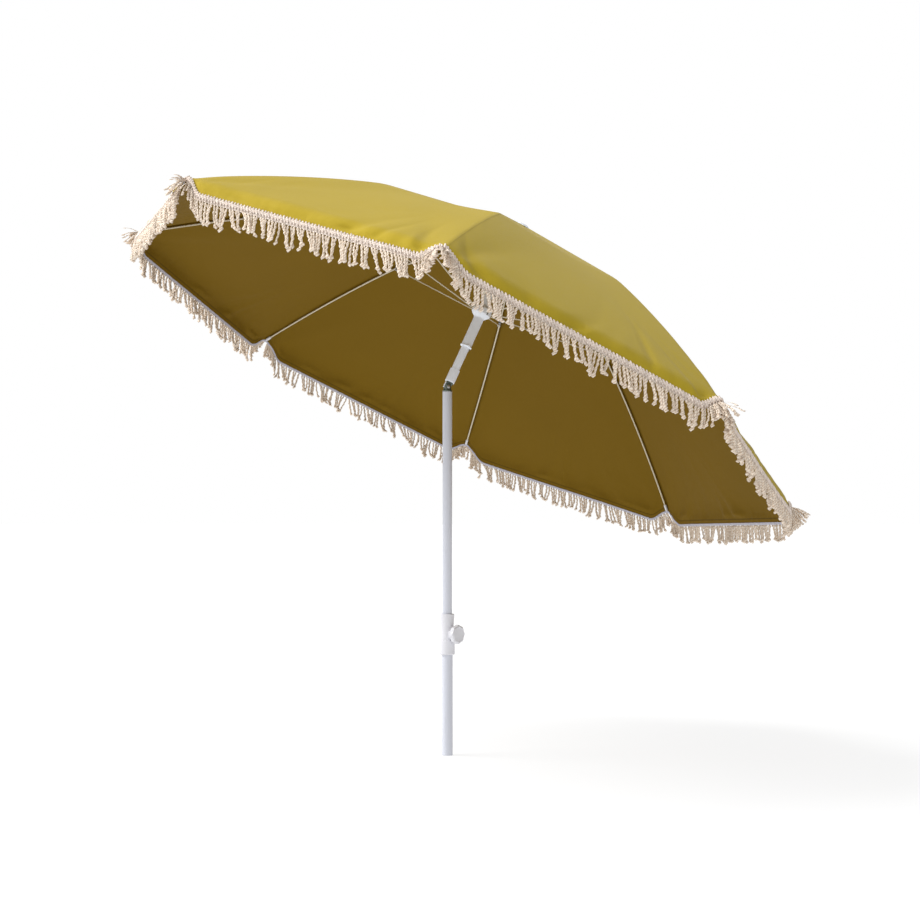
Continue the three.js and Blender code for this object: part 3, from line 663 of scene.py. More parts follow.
def tube_along(points, radius, sides=12):
    """A round rod through a list of points, closed at both ends."""
    bm = bmesh.new()
    bmesh.ops.create_cone(
        bm, cap_ends=True, segments=sides, radius1=radius, radius2=radius, depth=1,
        matrix=Matrix.Translation((0, 0, 0.5)),
    )
    walls = [edge for edge in bm.edges if abs(edge.verts[0].co.z - edge.verts[1].co.z) > 0.5]
    spans = len(points) - 1
    bmesh.ops.subdivide_edges(bm, edges=walls, cuts=spans - 1, use_grid_fill=False)
    side = Vector((0, 1, 0))
    for vertex in bm.verts:
        station = round(vertex.co.z * spans)
        before, after = points[max(0, station - 1)], points[min(spans, station + 1)]
        along = (after - before).normalized()
        lift = side.cross(along).normalized()
        across = along.cross(lift)
        vertex.co = points[station] + lift * vertex.co.x + across * vertex.co.y
    bmesh.ops.recalc_face_normals(bm, faces=bm.faces)
    return bm


def carve(body, cutter):
    """Cuts one closed shape out of another."""
    blanks = []
    for bm in (body, cutter):
        mesh = bpy.data.meshes.new("blank")
        bm.to_mesh(mesh)
        bm.free()
        blank = bpy.data.objects.new("blank", mesh)
        bpy.context.scene.collection.objects.link(blank)
        blanks.append(blank)
    cut = blanks[0].modifiers.new("cut", "BOOLEAN")
    cut.operation = "DIFFERENCE"
    cut.solver = "EXACT"
    cut.object = blanks[1]
    carved = blanks[0].evaluated_get(bpy.context.evaluated_depsgraph_get())
    result = bmesh.new()
    result.from_mesh(carved.data)
    for blank in blanks:
        mesh = blank.data
        bpy.data.objects.remove(blank)
        bpy.data.meshes.remove(mesh)
    return result


def together(*parts):
    """Several closed shapes as one bmesh. A shape may come as (shape, material number)."""
    whole = bmesh.new()
    for part in parts:
        bm, number = part if isinstance(part, tuple) else (part, 0)
        for face in bm.faces:
            face.material_index = number
        mesh = bpy.data.meshes.new("part")
        bm.to_mesh(mesh)
        bm.free()
        whole.from_mesh(mesh)
        bpy.data.meshes.remove(mesh)
    return whole


def piece(name, bm, body, finishes, nodes=(), sharp=35):
    """Makes a shown piece of a bmesh: it rides on a body and stands for CAD nodes."""
    mesh = bpy.data.meshes.new(name)
    bm.to_mesh(mesh)
    bm.free()
    mesh.polygons.foreach_set("use_smooth", [True] * len(mesh.polygons))
    mesh.set_sharp_from_angle(angle=math.radians(sharp))
    for finish in finishes:
        mesh.materials.append(finish_named(finish))
    made = bpy.data.objects.new(name, mesh)
    bpy.context.scene.collection.objects.link(made)
    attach(made, body)
    if nodes:
        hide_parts(*nodes)
    return made


def skin(node, bm, body, finish):
    """Makes the shown piece that stands for one CAD node in one finish."""
    return piece(node + "_skin", bm, body, [finish], [node])


def lay_uv(bm, layer, spots):
    """Gives every face's corners the UV places of their vertices."""
    for face in bm.faces:
        for loop in face.loops:
            loop[layer].uv = spots[loop.vert]


def eased_copy(node, rounding):
    """The node's own solid with its edges rounded."""
    bm = bmesh.new()
    bm.from_mesh(frame["nodes"][node].data)
    bmesh.ops.remove_doubles(bm, verts=bm.verts, dist=1e-5)
    bmesh.ops.dissolve_limit(bm, angle_limit=math.radians(1), verts=bm.verts, edges=bm.edges)
    sharp = [edge for edge in bm.edges if edge.calc_face_angle(0) > math.radians(32)]
    bmesh.ops.bevel(
        bm, geom=sharp, offset=rounding, affect="EDGES", segments=2, profile=0.5, material=-1,
        clamp_overlap=True,
    )
    return bm


# ---- sizes and colours ------------------------------------------------------------------
def length(name, description, default):
    return bpy.props.FloatProperty(name=name, description=description, default=default, unit="LENGTH")


def colour(name, description, default):
    return bpy.props.FloatVectorProperty(
        name=name, description=description, default=default, subtype="COLOR", size=3, min=0, max=1
    )


class UmbrellaSizes(bpy.types.PropertyGroup):
    """Sizes that can change without moving a joint."""

    cloth: length("Cloth", "Thickness of the canopy's cloth", 0.6 * MM)
    strand_length: length("Strand", "Length of a fringe strand", STRAND_LENGTH)
    strand_radius: length("Strand radius", "Radius of a fringe strand", STRAND_RADIUS)
    strand_pitch: length("Strand pitch", "Distance between two strands along the hem", STRAND_PITCH)
    cord_pitch: length("Cord pitch", "Distance between two cords of the braid", CORD_PITCH)
    braid_width: length("Braid", "Height of the braid above the strands", BRAID_WIDTH)
    tape_width: length("Tape", "Width of the tape inside the hem", 5.5 * MM)


class UmbrellaColours(bpy.types.PropertyGroup):
    """Colours of the umbrella's finishes."""

    canopy_top: colour("Canopy", "Upper side of the cloth", (0.43, 0.315, 0.022))
    # Painted shade: a darker copy of the same cloth, for the shade under the canopy.
    canopy_under: colour("Shaded underside", "Under side of the cloth", (0.172, 0.098, 0.004))
    cotton: colour("Cotton", "Light tone of the fringe", (0.94, 0.84, 0.71))
    # Painted shade between the plies of the fringe and braid; also the colour of darker fibre flecks.
    cotton_shade: colour("Cotton shade", "Tone between the plies", (0.50, 0.33, 0.21))
    braid: colour("Braid", "Light tone of the braid", (0.90, 0.80, 0.72))
    tape: colour("Tape", "Tape inside the hem", (0.55, 0.54, 0.62))
    pole: colour("Pole", "Powder coat of the pole", (0.62, 0.64, 0.71))
    # Painted light: a lighter white than the pole's and the plastic's, though the real parts are the same
    # white, to offset the canopy's shade.
    head: colour("Head", "Head tube, crown, cap, runner and collar", (0.88, 0.92, 1.0))
    rib: colour("Ribs", "Paint of the ribs and stretchers", (0.64, 0.57, 0.43))
    plastic: colour("Plastic", "Clamp, knob, bush, foot plug and tip caps", (0.72, 0.72, 0.76))
    zinc: colour("Joint", "Cast metal of the tilt joint", (0.19, 0.22, 0.19))
    steel: colour("Steel", "Pins, wires and screws", (0.62, 0.62, 0.63))
    floor: colour("Floor", "Studio floor", (0.2, 0.2, 0.2))


# ---- operators: the pole and what is on it ----------------------------------------------
class MakePole(bpy.types.Operator):
    """Makes the two tubes of the pole and the foot plug"""

    bl_idname = "umbrella.make_pole"
    bl_label = "Pole"

    def execute(self, context):
        tubes = (("lower_tube", "lower_pole", 1.2 * MM), ("mast_tube", "mast", 1.5 * MM))
        for node, body, wall in tubes:
            low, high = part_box(node)
            radius, bottom, top = high.x, low.z, high.z
            outline = [
                (radius - wall, bottom, 0.3 * MM),
                (radius, bottom, 0.5 * MM),
                (radius, top, 0.5 * MM),
                (radius - wall, top, 0.3 * MM),
            ]
            skin(node, turned(outline, 72), body, "pole_paint")
        low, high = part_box("foot_plug")
        radius = high.x
        dish = [
            (0, low.z + 1.5 * MM),
            (radius - 3 * MM, low.z + 1.5 * MM, 1 * MM),
            (radius - 2.5 * MM, low.z, 0.6 * MM),
            (radius, low.z, 0.8 * MM),
            (radius, high.z, 1 * MM),
            (0, high.z),
        ]
        skin("foot_plug", turned(dish, 48), "lower_pole", "moulded_plastic")
        return {"FINISHED"}


class MakeClamp(bpy.types.Operator):
    """Makes the height clamp: its body, nut, screw, pad and lobed knob"""

    bl_idname = "umbrella.make_clamp"
    bl_label = "Height clamp"

    def execute(self, context):
        side = Matrix.Translation((0, 0, KNOB_Z)) @ Matrix.Rotation(KNOB_ANGLE, 4, "Z")
        knob_axis = side @ Matrix.Rotation(math.pi / 2, 4, "Y")
        self.body(side, knob_axis)
        self.knob(knob_axis)
        for node, body, rounding in (
            ("clamp_nut", "lower_pole", 0.35 * MM),
            ("clamp_screw", "knob", 0.35 * MM),
            ("clamp_pad", "pad", 0.2 * MM),
        ):
            skin(node, eased_copy(node, rounding), body, "plated_steel")
        return {"FINISHED"}

    def body(self, side, knob_axis):
        low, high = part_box("clamp_body")
        bottom, top = low.z, high.z
        step = bottom + 34 * MM
        spool = turned([
            (12.8 * MM, bottom, 0.4 * MM),
            (17.5 * MM, bottom, 4 * MM),
            (16.6 * MM, step, 1.2 * MM),
            (14.75 * MM, step, 0.8 * MM),
            (14.75 * MM, top - 22 * MM, 9 * MM),
            (16.5 * MM, top, 1.0 * MM),
            (11.4 * MM, top, 0.5 * MM),
            (11.4 * MM, 262.3 * MM),
            (12.8 * MM, 262.3 * MM),
        ], 96)
        boss = turned([
            (4.3 * MM, 12.2 * MM),
            (12.6 * MM, 12.2 * MM),
            (11.5 * MM, 17.0 * MM, 1.5 * MM),
            (11.3 * MM, 19.5 * MM, 0.8 * MM),
            (4.3 * MM, 19.5 * MM),
        ], 64, knob_axis)
        slot = rounded_block((4.6 * MM, 13.6 * MM, 22 * MM), (15.4 * MM, 0, -5 * MM), 0.3 * MM, side)
        spine = rounded_block((5 * MM, 9 * MM, 40 * MM), (-13.2 * MM, 0, 8 * MM), 1.2 * MM, side)
        spool = carve(spool, slot.copy())
        boss = carve(boss, slot)
        spine = carve(spine, turned([(0, 0.1), (13.9 * MM, 0.1), (13.9 * MM, 0.4), (0, 0.4)], 96))
        skin("clamp_body", together(spool, boss, spine), "lower_pole", "moulded_plastic")

    def knob(self, knob_axis):
        back, front = KNOB_BACK, KNOB_BACK + KNOB_THICKNESS
        rim = KNOB_RADIUS
        cup = turned([
            (4.3 * MM, back - 2 * MM),
            (10 * MM, back - 2 * MM, 0.5 * MM),
            (10 * MM, back, 0.5 * MM),
            (rim - 3.5 * MM, back, 1.5 * MM),
            (rim - 0.4 * MM, back + 3 * MM, 2.5 * MM),
            (rim, front - 2 * MM, 2.2 * MM),
            (rim - 5 * MM, front, 1.2 * MM),
            (rim - 6.5 * MM, front - 1.2 * MM, 1.0 * MM),
            (0, front - 1.0 * MM),
            (0, back + 10 * MM),
            (4.3 * MM, back + 10 * MM),
        ], 128)
        for vertex in cup.verts:
            radius = math.hypot(vertex.co.x, vertex.co.y)
            around = math.atan2(vertex.co.y, vertex.co.x)
            grip = smooth((radius - 11 * MM) / (8 * MM))
            scale = 1 - grip * KNOB_LOBE_DEPTH * (0.5 - 0.5 * math.cos(KNOB_LOBES * around)) ** 0.8
            vertex.co.x *= scale
            vertex.co.y *= scale
        cup.transform(knob_axis)
        skin("clamp_knob", cup, "knob", "moulded_plastic")


class MakeTiltJoint(bpy.types.Operator):
    """Makes the tilt joint's two knuckles, its pin, the locking collar and the guide bush"""

    bl_idname = "umbrella.make_tilt_joint"
    bl_label = "Tilt joint"

    def execute(self, context):
        for node, body, finish in (
            ("lower_knuckle", "mast", "cast_metal"),
            ("upper_knuckle", "head", "cast_metal"),
            ("tilt_pin", "mast", "plated_steel"),
            ("guide_bush", "bush", "moulded_plastic"),
        ):
            skin(node, eased_copy(node, 0.35 * MM), body, finish)
        low, high = COLLAR_RISE, COLLAR_RISE + COLLAR_LENGTH
        collar = turned([
            (COLLAR_BORE, low, 0.3 * MM),
            (COLLAR_RADIUS - 0.5 * MM, low, 0.6 * MM),
            (COLLAR_RADIUS, low + 2.5 * MM, 0.8 * MM),
            (COLLAR_RADIUS, high - 3.2 * MM, 0.5 * MM),
            (COLLAR_RADIUS - 0.7 * MM, high - 2.7 * MM, 0.3 * MM),
            (COLLAR_RADIUS - 0.7 * MM, high - 2.0 * MM, 0.3 * MM),
            (COLLAR_RADIUS, high - 1.6 * MM, 0.3 * MM),
            (COLLAR_RADIUS, high, 0.6 * MM),
            (COLLAR_BORE, high, 0.3 * MM),
        ], 72, HEAD)
        skin("tilt_collar", collar, "collar", "lit_head_plastic")
        return {"FINISHED"}


class MakeHead(bpy.types.Operator):
    """Makes the head tube, the crown with its wire, and the cap on top"""

    bl_idname = "umbrella.make_head"
    bl_label = "Head"

    def execute(self, context):
        wall, radius = HEAD_TUBE_WALL, HEAD_TUBE_RADIUS
        tube = turned([
            (radius - wall, HEAD_TUBE_RISE, 0.3 * MM),
            (radius, HEAD_TUBE_RISE, 0.4 * MM),
            (radius, HEAD_TUBE_TOP, 0.4 * MM),
            (radius - wall, HEAD_TUBE_TOP, 0.3 * MM),
        ], 64)
        window = rounded_block(
            (14 * MM, 5.6 * MM, 12.6 * MM), (radius + 2 * MM, 0, RUNNER_BOTTOM - 6.3 * MM), 0.3 * MM
        )
        tube = carve(tube, window)
        tube.transform(HEAD)
        skin("head_tube", together(tube, self.guard()), "head", "lit_head_paint")
        skin("crown", eased_copy("crown", 0.5 * MM), "head", "lit_head_plastic")
        skin("top_cap", self.cap(), "head", "lit_head_plastic")
        for node in ("crown_wire", "runner_catch"):
            skin(node, eased_copy(node, 0.15 * MM), "head", "plated_steel")
        return {"FINISHED"}

    def guard(self):
        """The tongue of the tube's wall that is left behind the knuckle on the bend's outer side."""
        inner, outer = GUARD_INNER_RADIUS, HEAD_TUBE_RADIUS
        low, high = -GUARD_DROP, HEAD_TUBE_RISE
        start = Matrix.Rotation(math.pi - GUARD_HALF_ANGLE, 4, "Z")
        bm = bmesh.new()
        outline = [(inner, low), (outer, low), (outer, high), (inner, high)]
        face = bm.faces.new([bm.verts.new((x, 0, z)) for x, z in outline])
        bmesh.ops.spin(
            bm, geom=[face], cent=(0, 0, 0), axis=(0, 0, 1), angle=2 * GUARD_HALF_ANGLE, steps=10
        )
        bmesh.ops.recalc_face_normals(bm, faces=bm.faces)
        bm.transform(HEAD @ start)
        return bm

    def cap(self):
        """A shallow dome with a rim, and a stud into the crown."""
        bottom = rib_line(0) + 1.3 * MM
        radius = 23 * MM
        outline = [
            (0, bottom - 12 * MM),
            (3.5 * MM, bottom - 12 * MM, 0.8 * MM),
            (3.5 * MM, bottom),
            (radius, bottom, 0.5 * MM),
            (radius, bottom + 1.5 * MM, 1.0 * MM),
        ]
        steps = 8
        for step in range(1, steps):
            angle = math.pi / 2 * step / steps
            outline.append(((radius - 1.5 * MM) * math.cos(angle), bottom + (2 + 7 * math.sin(angle)) * MM))
        outline.append((0, bottom + 9 * MM))
        return turned(outline, 72, HEAD)


class MakeRunner(bpy.types.Operator):
    """Makes the runner that slides on the head tube and carries the stretchers"""

    bl_idname = "umbrella.make_runner"
    bl_label = "Runner"

    def execute(self, context):
        bore, radius, bottom = RUNNER_BORE, RUNNER_RADIUS, RUNNER_BOTTOM
        hub_bottom = RUNNER_PIVOT_HEIGHT - HUB_HALF_HEIGHT
        hub_top = RUNNER_PIVOT_HEIGHT + HUB_HALF_HEIGHT
        shell = turned([
            (bore, bottom, 0.4 * MM),
            (RUNNER_FLANGE_RADIUS - 1.5 * MM, bottom, 0.6 * MM),
            (RUNNER_FLANGE_RADIUS, bottom + 0.8 * MM, 0.5 * MM),
            (RUNNER_FLANGE_RADIUS, bottom + 3.2 * MM, 0.5 * MM),
            (radius, bottom + 5 * MM, 1.0 * MM),
            (radius, hub_bottom - 8 * MM, 3 * MM),
            (CROWN_RADIUS - 2 * MM, hub_bottom, 2.5 * MM),
            (CROWN_RADIUS, hub_bottom + 3 * MM, 1.0 * MM),
            (CROWN_RADIUS, hub_top, 1.0 * MM),
            (bore, hub_top, 0.5 * MM),
        ], 96)
        groove = turned([
            (14.7 * MM, RUNNER_PIVOT_HEIGHT - 1.3 * MM),
            (17.3 * MM, RUNNER_PIVOT_HEIGHT - 1.3 * MM),
            (17.3 * MM, hub_top + 2 * MM),
            (14.7 * MM, hub_top + 2 * MM),
        ], 48)
        shell = carve(shell, groove)
        for sector in SECTORS:
            slot = rounded_block(
                (32 * MM, 4.6 * MM, 30 * MM), (28.4 * MM, 0, hub_bottom + 17.6 * MM), 0.3 * MM, sector.turn
            )
            shell = carve(shell, slot)
        nubs = [
            rounded_block((7 * MM, 5 * MM, 4 * MM), (0, y * 15.3 * MM, bottom + 2.3 * MM), 1.2 * MM)
            for y in (-1, 1)
        ]
        shape = together(shell, *nubs)
        shape.transform(HEAD)
        skin("runner", shape, "runner", "lit_head_plastic")
        skin("runner_wire", eased_copy("runner_wire", 0.15 * MM), "runner", "plated_steel")
        return {"FINISHED"}


# ---- operators: ribs --------------------------------------------------------------------
def rib_height(radius):
    """Height of a rib's middle."""
    return rib_line(radius) - RIB_DROP


def clip_slope():
    low, high = STRETCHER_REACH - CLIP_LENGTH, STRETCHER_REACH + CLIP_LENGTH
    return math.atan2(rib_height(high) - rib_height(low), 2 * CLIP_LENGTH)


def cross_pin(radius, half_length, place, head=0.0):
    """A pin along Y with domed heads."""
    if head:
        outline = [
            (0, -half_length - head),
            (radius * 1.2, -half_length - head * 0.9, head / 2),
            (radius * 1.7, -half_length, head / 3),
            (radius, -half_length),
            (radius, half_length),
            (radius * 1.7, half_length, head / 3),
            (radius * 1.2, half_length + head * 0.9, head / 2),
            (0, half_length + head),
        ]
    else:
        outline = [
            (0, -half_length),
            (radius, -half_length, radius / 2),
            (radius, half_length, radius / 2),
            (0, half_length),
        ]
    return turned(outline, 20, place @ Matrix.Rotation(math.pi / 2, 4, "X"))


class MakeRibs(bpy.types.Operator):
    """Makes the eight ribs with their clips and tip caps, and the eight stretchers"""

    bl_idname = "umbrella.make_ribs"
    bl_label = "Ribs and stretchers"

    def execute(self, context):
        for sector in SECTORS:
            self.rib(sector)
            self.stretcher(sector)
            self.tip(sector)
        return {"FINISHED"}

    def rib(self, sector):
        start, steps = 69 * MM, 60
        path = [Vector((RING_RADIUS + RING_WIRE_RADIUS, 0, CROWN_PIVOT_HEIGHT))]
        path.append(path[0].lerp(Vector((start, 0, rib_height(start))), 0.5))
        for step in range(steps + 1):
            radius = start + (RIB_END - start) * step / steps
            path.append(Vector((radius, 0, rib_height(radius))))
        rod = tube_along(path, RIB_RADIUS, 14)
        eye = cross_pin(EYE_RADIUS, 2 * MM, Matrix.Translation((RING_RADIUS, 0, CROWN_PIVOT_HEIGHT)))
        clip_place = Matrix.Translation((STRETCHER_REACH, 0, rib_height(STRETCHER_REACH)))
        clip_place = clip_place @ Matrix.Rotation(-clip_slope(), 4, "Y")
        inner = STRETCHER_RADIUS + 0.3 * MM
        outer = inner + CLIP_EAR
        saddle = rounded_block((CLIP_LENGTH, 2 * outer, 4.6 * MM), (0, 0, -0.3 * MM), 0.9 * MM, clip_place)
        ears = [
            rounded_block(
                (CLIP_LENGTH / 2, CLIP_EAR, CLIP_DROP + 2.4 * MM),
                (0, y * (inner + CLIP_EAR / 2), -(CLIP_DROP + 2.4 * MM) / 2),
                0.5 * MM,
                clip_place,
            )
            for y in (-1, 1)
        ]
        rivet = cross_pin(
            CLIP_PIN_RADIUS, outer, clip_place @ Matrix.Translation((0, 0, -CLIP_DROP)), 0.7 * MM
        )
        shape = together(rod, eye, (saddle, 1), (ears[0], 1), (ears[1], 1), (rivet, 1))
        shape.transform(sector.place)
        name = f"rib_{sector.number}"
        piece(name + "_rod", shape, sector.arm, ["wire_paint", "plated_steel"], [name])

    def stretcher(self, sector):
        slope = clip_slope()
        inner = Vector((RING_RADIUS, 0, RUNNER_PIVOT_HEIGHT))
        outer = Vector((
            STRETCHER_REACH + CLIP_DROP * math.sin(slope),
            0,
            rib_height(STRETCHER_REACH) - CLIP_DROP * math.cos(slope),
        ))
        along = (outer - inner).normalized()
        path = [inner + along * 2 * MM + (outer - inner - along * 4 * MM) * (i / 12) for i in range(13)]
        rod = tube_along(path, STRETCHER_RADIUS, 12)
        eyes = [
            cross_pin(EYE_RADIUS, 2 * MM, Matrix.Translation(inner)),
            cross_pin(EYE_RADIUS, STRETCHER_RADIUS, Matrix.Translation(outer)),
        ]
        shape = together(rod, *eyes)
        shape.transform(sector.place)
        name = f"stretcher_{sector.number}"
        piece(name + "_rod", shape, f"stretcher_arm_{sector.number}", ["wire_paint"], [name])

    def tip(self, sector):
        radius, depth = TIP_CAP_RADIUS, TIP_CAP_LENGTH
        slope = math.atan2(rib_height(RIB_END) - rib_height(RIB_END - depth), depth)
        outline = [
            (0, -depth),
            (radius - 0.6 * MM, -depth, 0.3 * MM),
            (radius, -depth + 2 * MM, 0.8 * MM),
            (radius, 0, 1.5 * MM),
            (radius * 0.75, 2.6 * MM, 1.0 * MM),
            (0, 3.6 * MM),
        ]
        place = Matrix.Translation((RIB_END, 0, rib_height(RIB_END)))
        shape = turned(outline, 32, sector.place @ place @ Matrix.Rotation(math.pi / 2 - slope, 4, "Y"))
        name = f"rib_tip_{sector.number}"
        piece(name + "_cap", shape, sector.arm, ["moulded_plastic"], [name])


# ---- operators: cloth, tape, braid and fringe -------------------------------------------
CLOSING_ANCHOR = Vector((0.4, 0, 0.3))


def close_with_runner(made, sector):
    """Gives a soft piece its own copy of its mesh; the anchor on its rib that it works out is not used."""
    anchor = sector.place @ CLOSING_ANCHOR
    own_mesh(made)


class MakeCanopy(bpy.types.Operator):
    """Makes the canopy as one curved sheet in eight shares, each sewn to a rib"""

    bl_idname = "umbrella.make_canopy"
    bl_label = "Canopy"

    def execute(self, context):
        for sector in SECTORS:
            cloth = self.share(sector, context.scene.umbrella_sizes.cloth)
            seam = self.seam(sector)
            close_with_runner(cloth, sector)
            close_with_runner(seam, sector)
            self.slant() + HEM_BEYOND_GORE
            self.flat_area()
        return {"FINISHED"}

    def slant(self):
        """Length of the cloth over a rib, from its hole to the rib's tip."""
        stations = [INNER_RADIUS + (TIP_RADIUS - INNER_RADIUS) * i / 60 for i in range(61)]
        return sum(
            math.hypot(b - a, rib_line(b) - rib_line(a)) for a, b in zip(stations, stations[1:])
        )

    def flat_area(self):
        """Area of the two half gores as they are cut, with their hem."""
        chord = 2 * TIP_RADIUS * math.sin(HALF_GORE)
        return chord * (self.slant() / 2 + HEM_BEYOND_GORE * 0.9)

    def share(self, sector, thickness):
        rows = ROOF_ROWS + HEM_ROWS
        bm = bmesh.new()
        bmesh.ops.create_grid(bm, x_segments=COLUMNS, y_segments=rows, size=0.5)
        weave = bm.loops.layers.uv.new("UVMap")
        rib_layer = bm.verts.layers.float.new("from_rib")
        hem_layer = bm.verts.layers.float.new("from_hem")
        spots = {}
        for vertex in bm.verts:
            across = 1 - 2 * (vertex.co.x + 0.5)
            side = math.copysign(abs(across) ** COLUMN_SPREAD, across)
            row = round((vertex.co.y + 0.5) * rows)
            if row <= ROOF_ROWS:
                reach = (INNER_RADIUS - TIP_RADIUS) * (1 - row / ROOF_ROWS)
            else:
                reach = hem_reach(side) * (row - ROOF_ROWS) / HEM_ROWS
            half_width = (TIP_RADIUS + min(0, reach)) * math.sin(HALF_GORE)
            spots[vertex] = ((abs(side) - 1) * half_width, reach * 1.1)
            vertex.co = sector.cloth(side, reach)
            vertex[rib_layer] = abs(side) * half_width
            vertex[hem_layer] = hem_reach(side) - reach
        lay_uv(bm, weave, spots)
        bm.transform(sector.place)
        name = f"canopy_{sector.number}"
        made = piece(name + "_cloth", bm, sector.arm, ["canopy_top", "canopy_under"], [name], 60)
        faces_on = Counter(key for face in made.data.polygons for key in face.edge_keys)
        for edge in made.data.edges:
            edge.use_edge_sharp = edge.use_edge_sharp or faces_on[edge.key] == 1
        shell = made.modifiers.new("thickness", "SOLIDIFY")
        shell.thickness = thickness
        shell.offset = -1
        shell.material_offset = 1
        shell.material_offset_rim = 0
        return made

    def seam(self, sector):
        """The seam allowance that stands under the cloth over the rib."""
        bm = bmesh.new()
        bmesh.ops.create_grid(bm, x_segments=70, y_segments=3, size=0.5)
        weave = bm.loops.layers.uv.new("UVMap")
        first, last = 60 * MM, TIP_RADIUS - 6 * MM
        for vertex in bm.verts:
            radius = first + (last - first) * (vertex.co.x + 0.5)
            depth = vertex.co.y + 0.5
            sway = 0.7 * MM * math.sin(radius * 90) * depth
            top = sector.cloth(0, radius - TIP_RADIUS)
            vertex.co = top + Vector((0, sway, -0.5 * MM - depth * 3.2 * MM))
        lay_uv(bm, weave, {vertex: (vertex.co.x, vertex.co.z) for vertex in bm.verts})
        bmesh.ops.solidify(bm, geom=bm.faces[:], thickness=0.8 * MM)
        bm.transform(sector.place)
        return piece(f"canopy_{sector.number}_seam", bm, sector.arm, ["canopy_under"], sharp=60)


def evenly_along_hem(sector, pitch):
    """Values of side that are one pitch apart along the hem's edge."""
    samples = 480
    sides = [-1 + 2 * i / samples for i in range(samples + 1)]
    points = [sector.cloth(side, hem_reach(side)) for side in sides]
    run = [0.0]
    for before, after in zip(points, points[1:]):
        run.append(run[-1] + (after - before).length)
    count = round(run[-1] / pitch)
    found, j = [], 0
    for i in range(count):
        target = run[-1] * (i + 0.5) / count
        while run[j + 1] < target:
            j += 1
        share = (target - run[j]) / (run[j + 1] - run[j])
        found.append(sides[j] + share * (sides[j + 1] - sides[j]))
    return found


def strand_blank(sides, rings):
    """A closed, round blank for a strand; its height runs from -1 to 1 and its UV along it."""
    bm = bmesh.new()
    bm.loops.layers.uv.new("UVMap")
    bmesh.ops.create_uvsphere(bm, u_segments=sides, v_segments=rings, radius=1, calc_uvs=True)
    mesh = bpy.data.meshes.new("strand_blank")
    bm.to_mesh(mesh)
    bm.free()
    return mesh


def add_strand(bm, blank, tone_layer, centre_line, radius_at, directions, tone):
    """Bends one blank along a centre line: t runs from 0 at its top to 1 at its end."""
    first = len(bm.verts)
    bm.from_mesh(blank)
    bm.verts.ensure_lookup_table()
    a, b = directions
    for vertex in bm.verts[first:]:
        height = max(-1.0, min(1.0, vertex.co.z))
        t = math.acos(height) / math.pi
        around = math.atan2(vertex.co.y, vertex.co.x)
        on_axis = abs(height) > 0.9999
        radius = 0 if on_axis else radius_at(t)
        offset = a * (radius * math.cos(around)) + b * (radius * math.sin(around))
        vertex.co = centre_line(t) + offset
        vertex[tone_layer] = tone


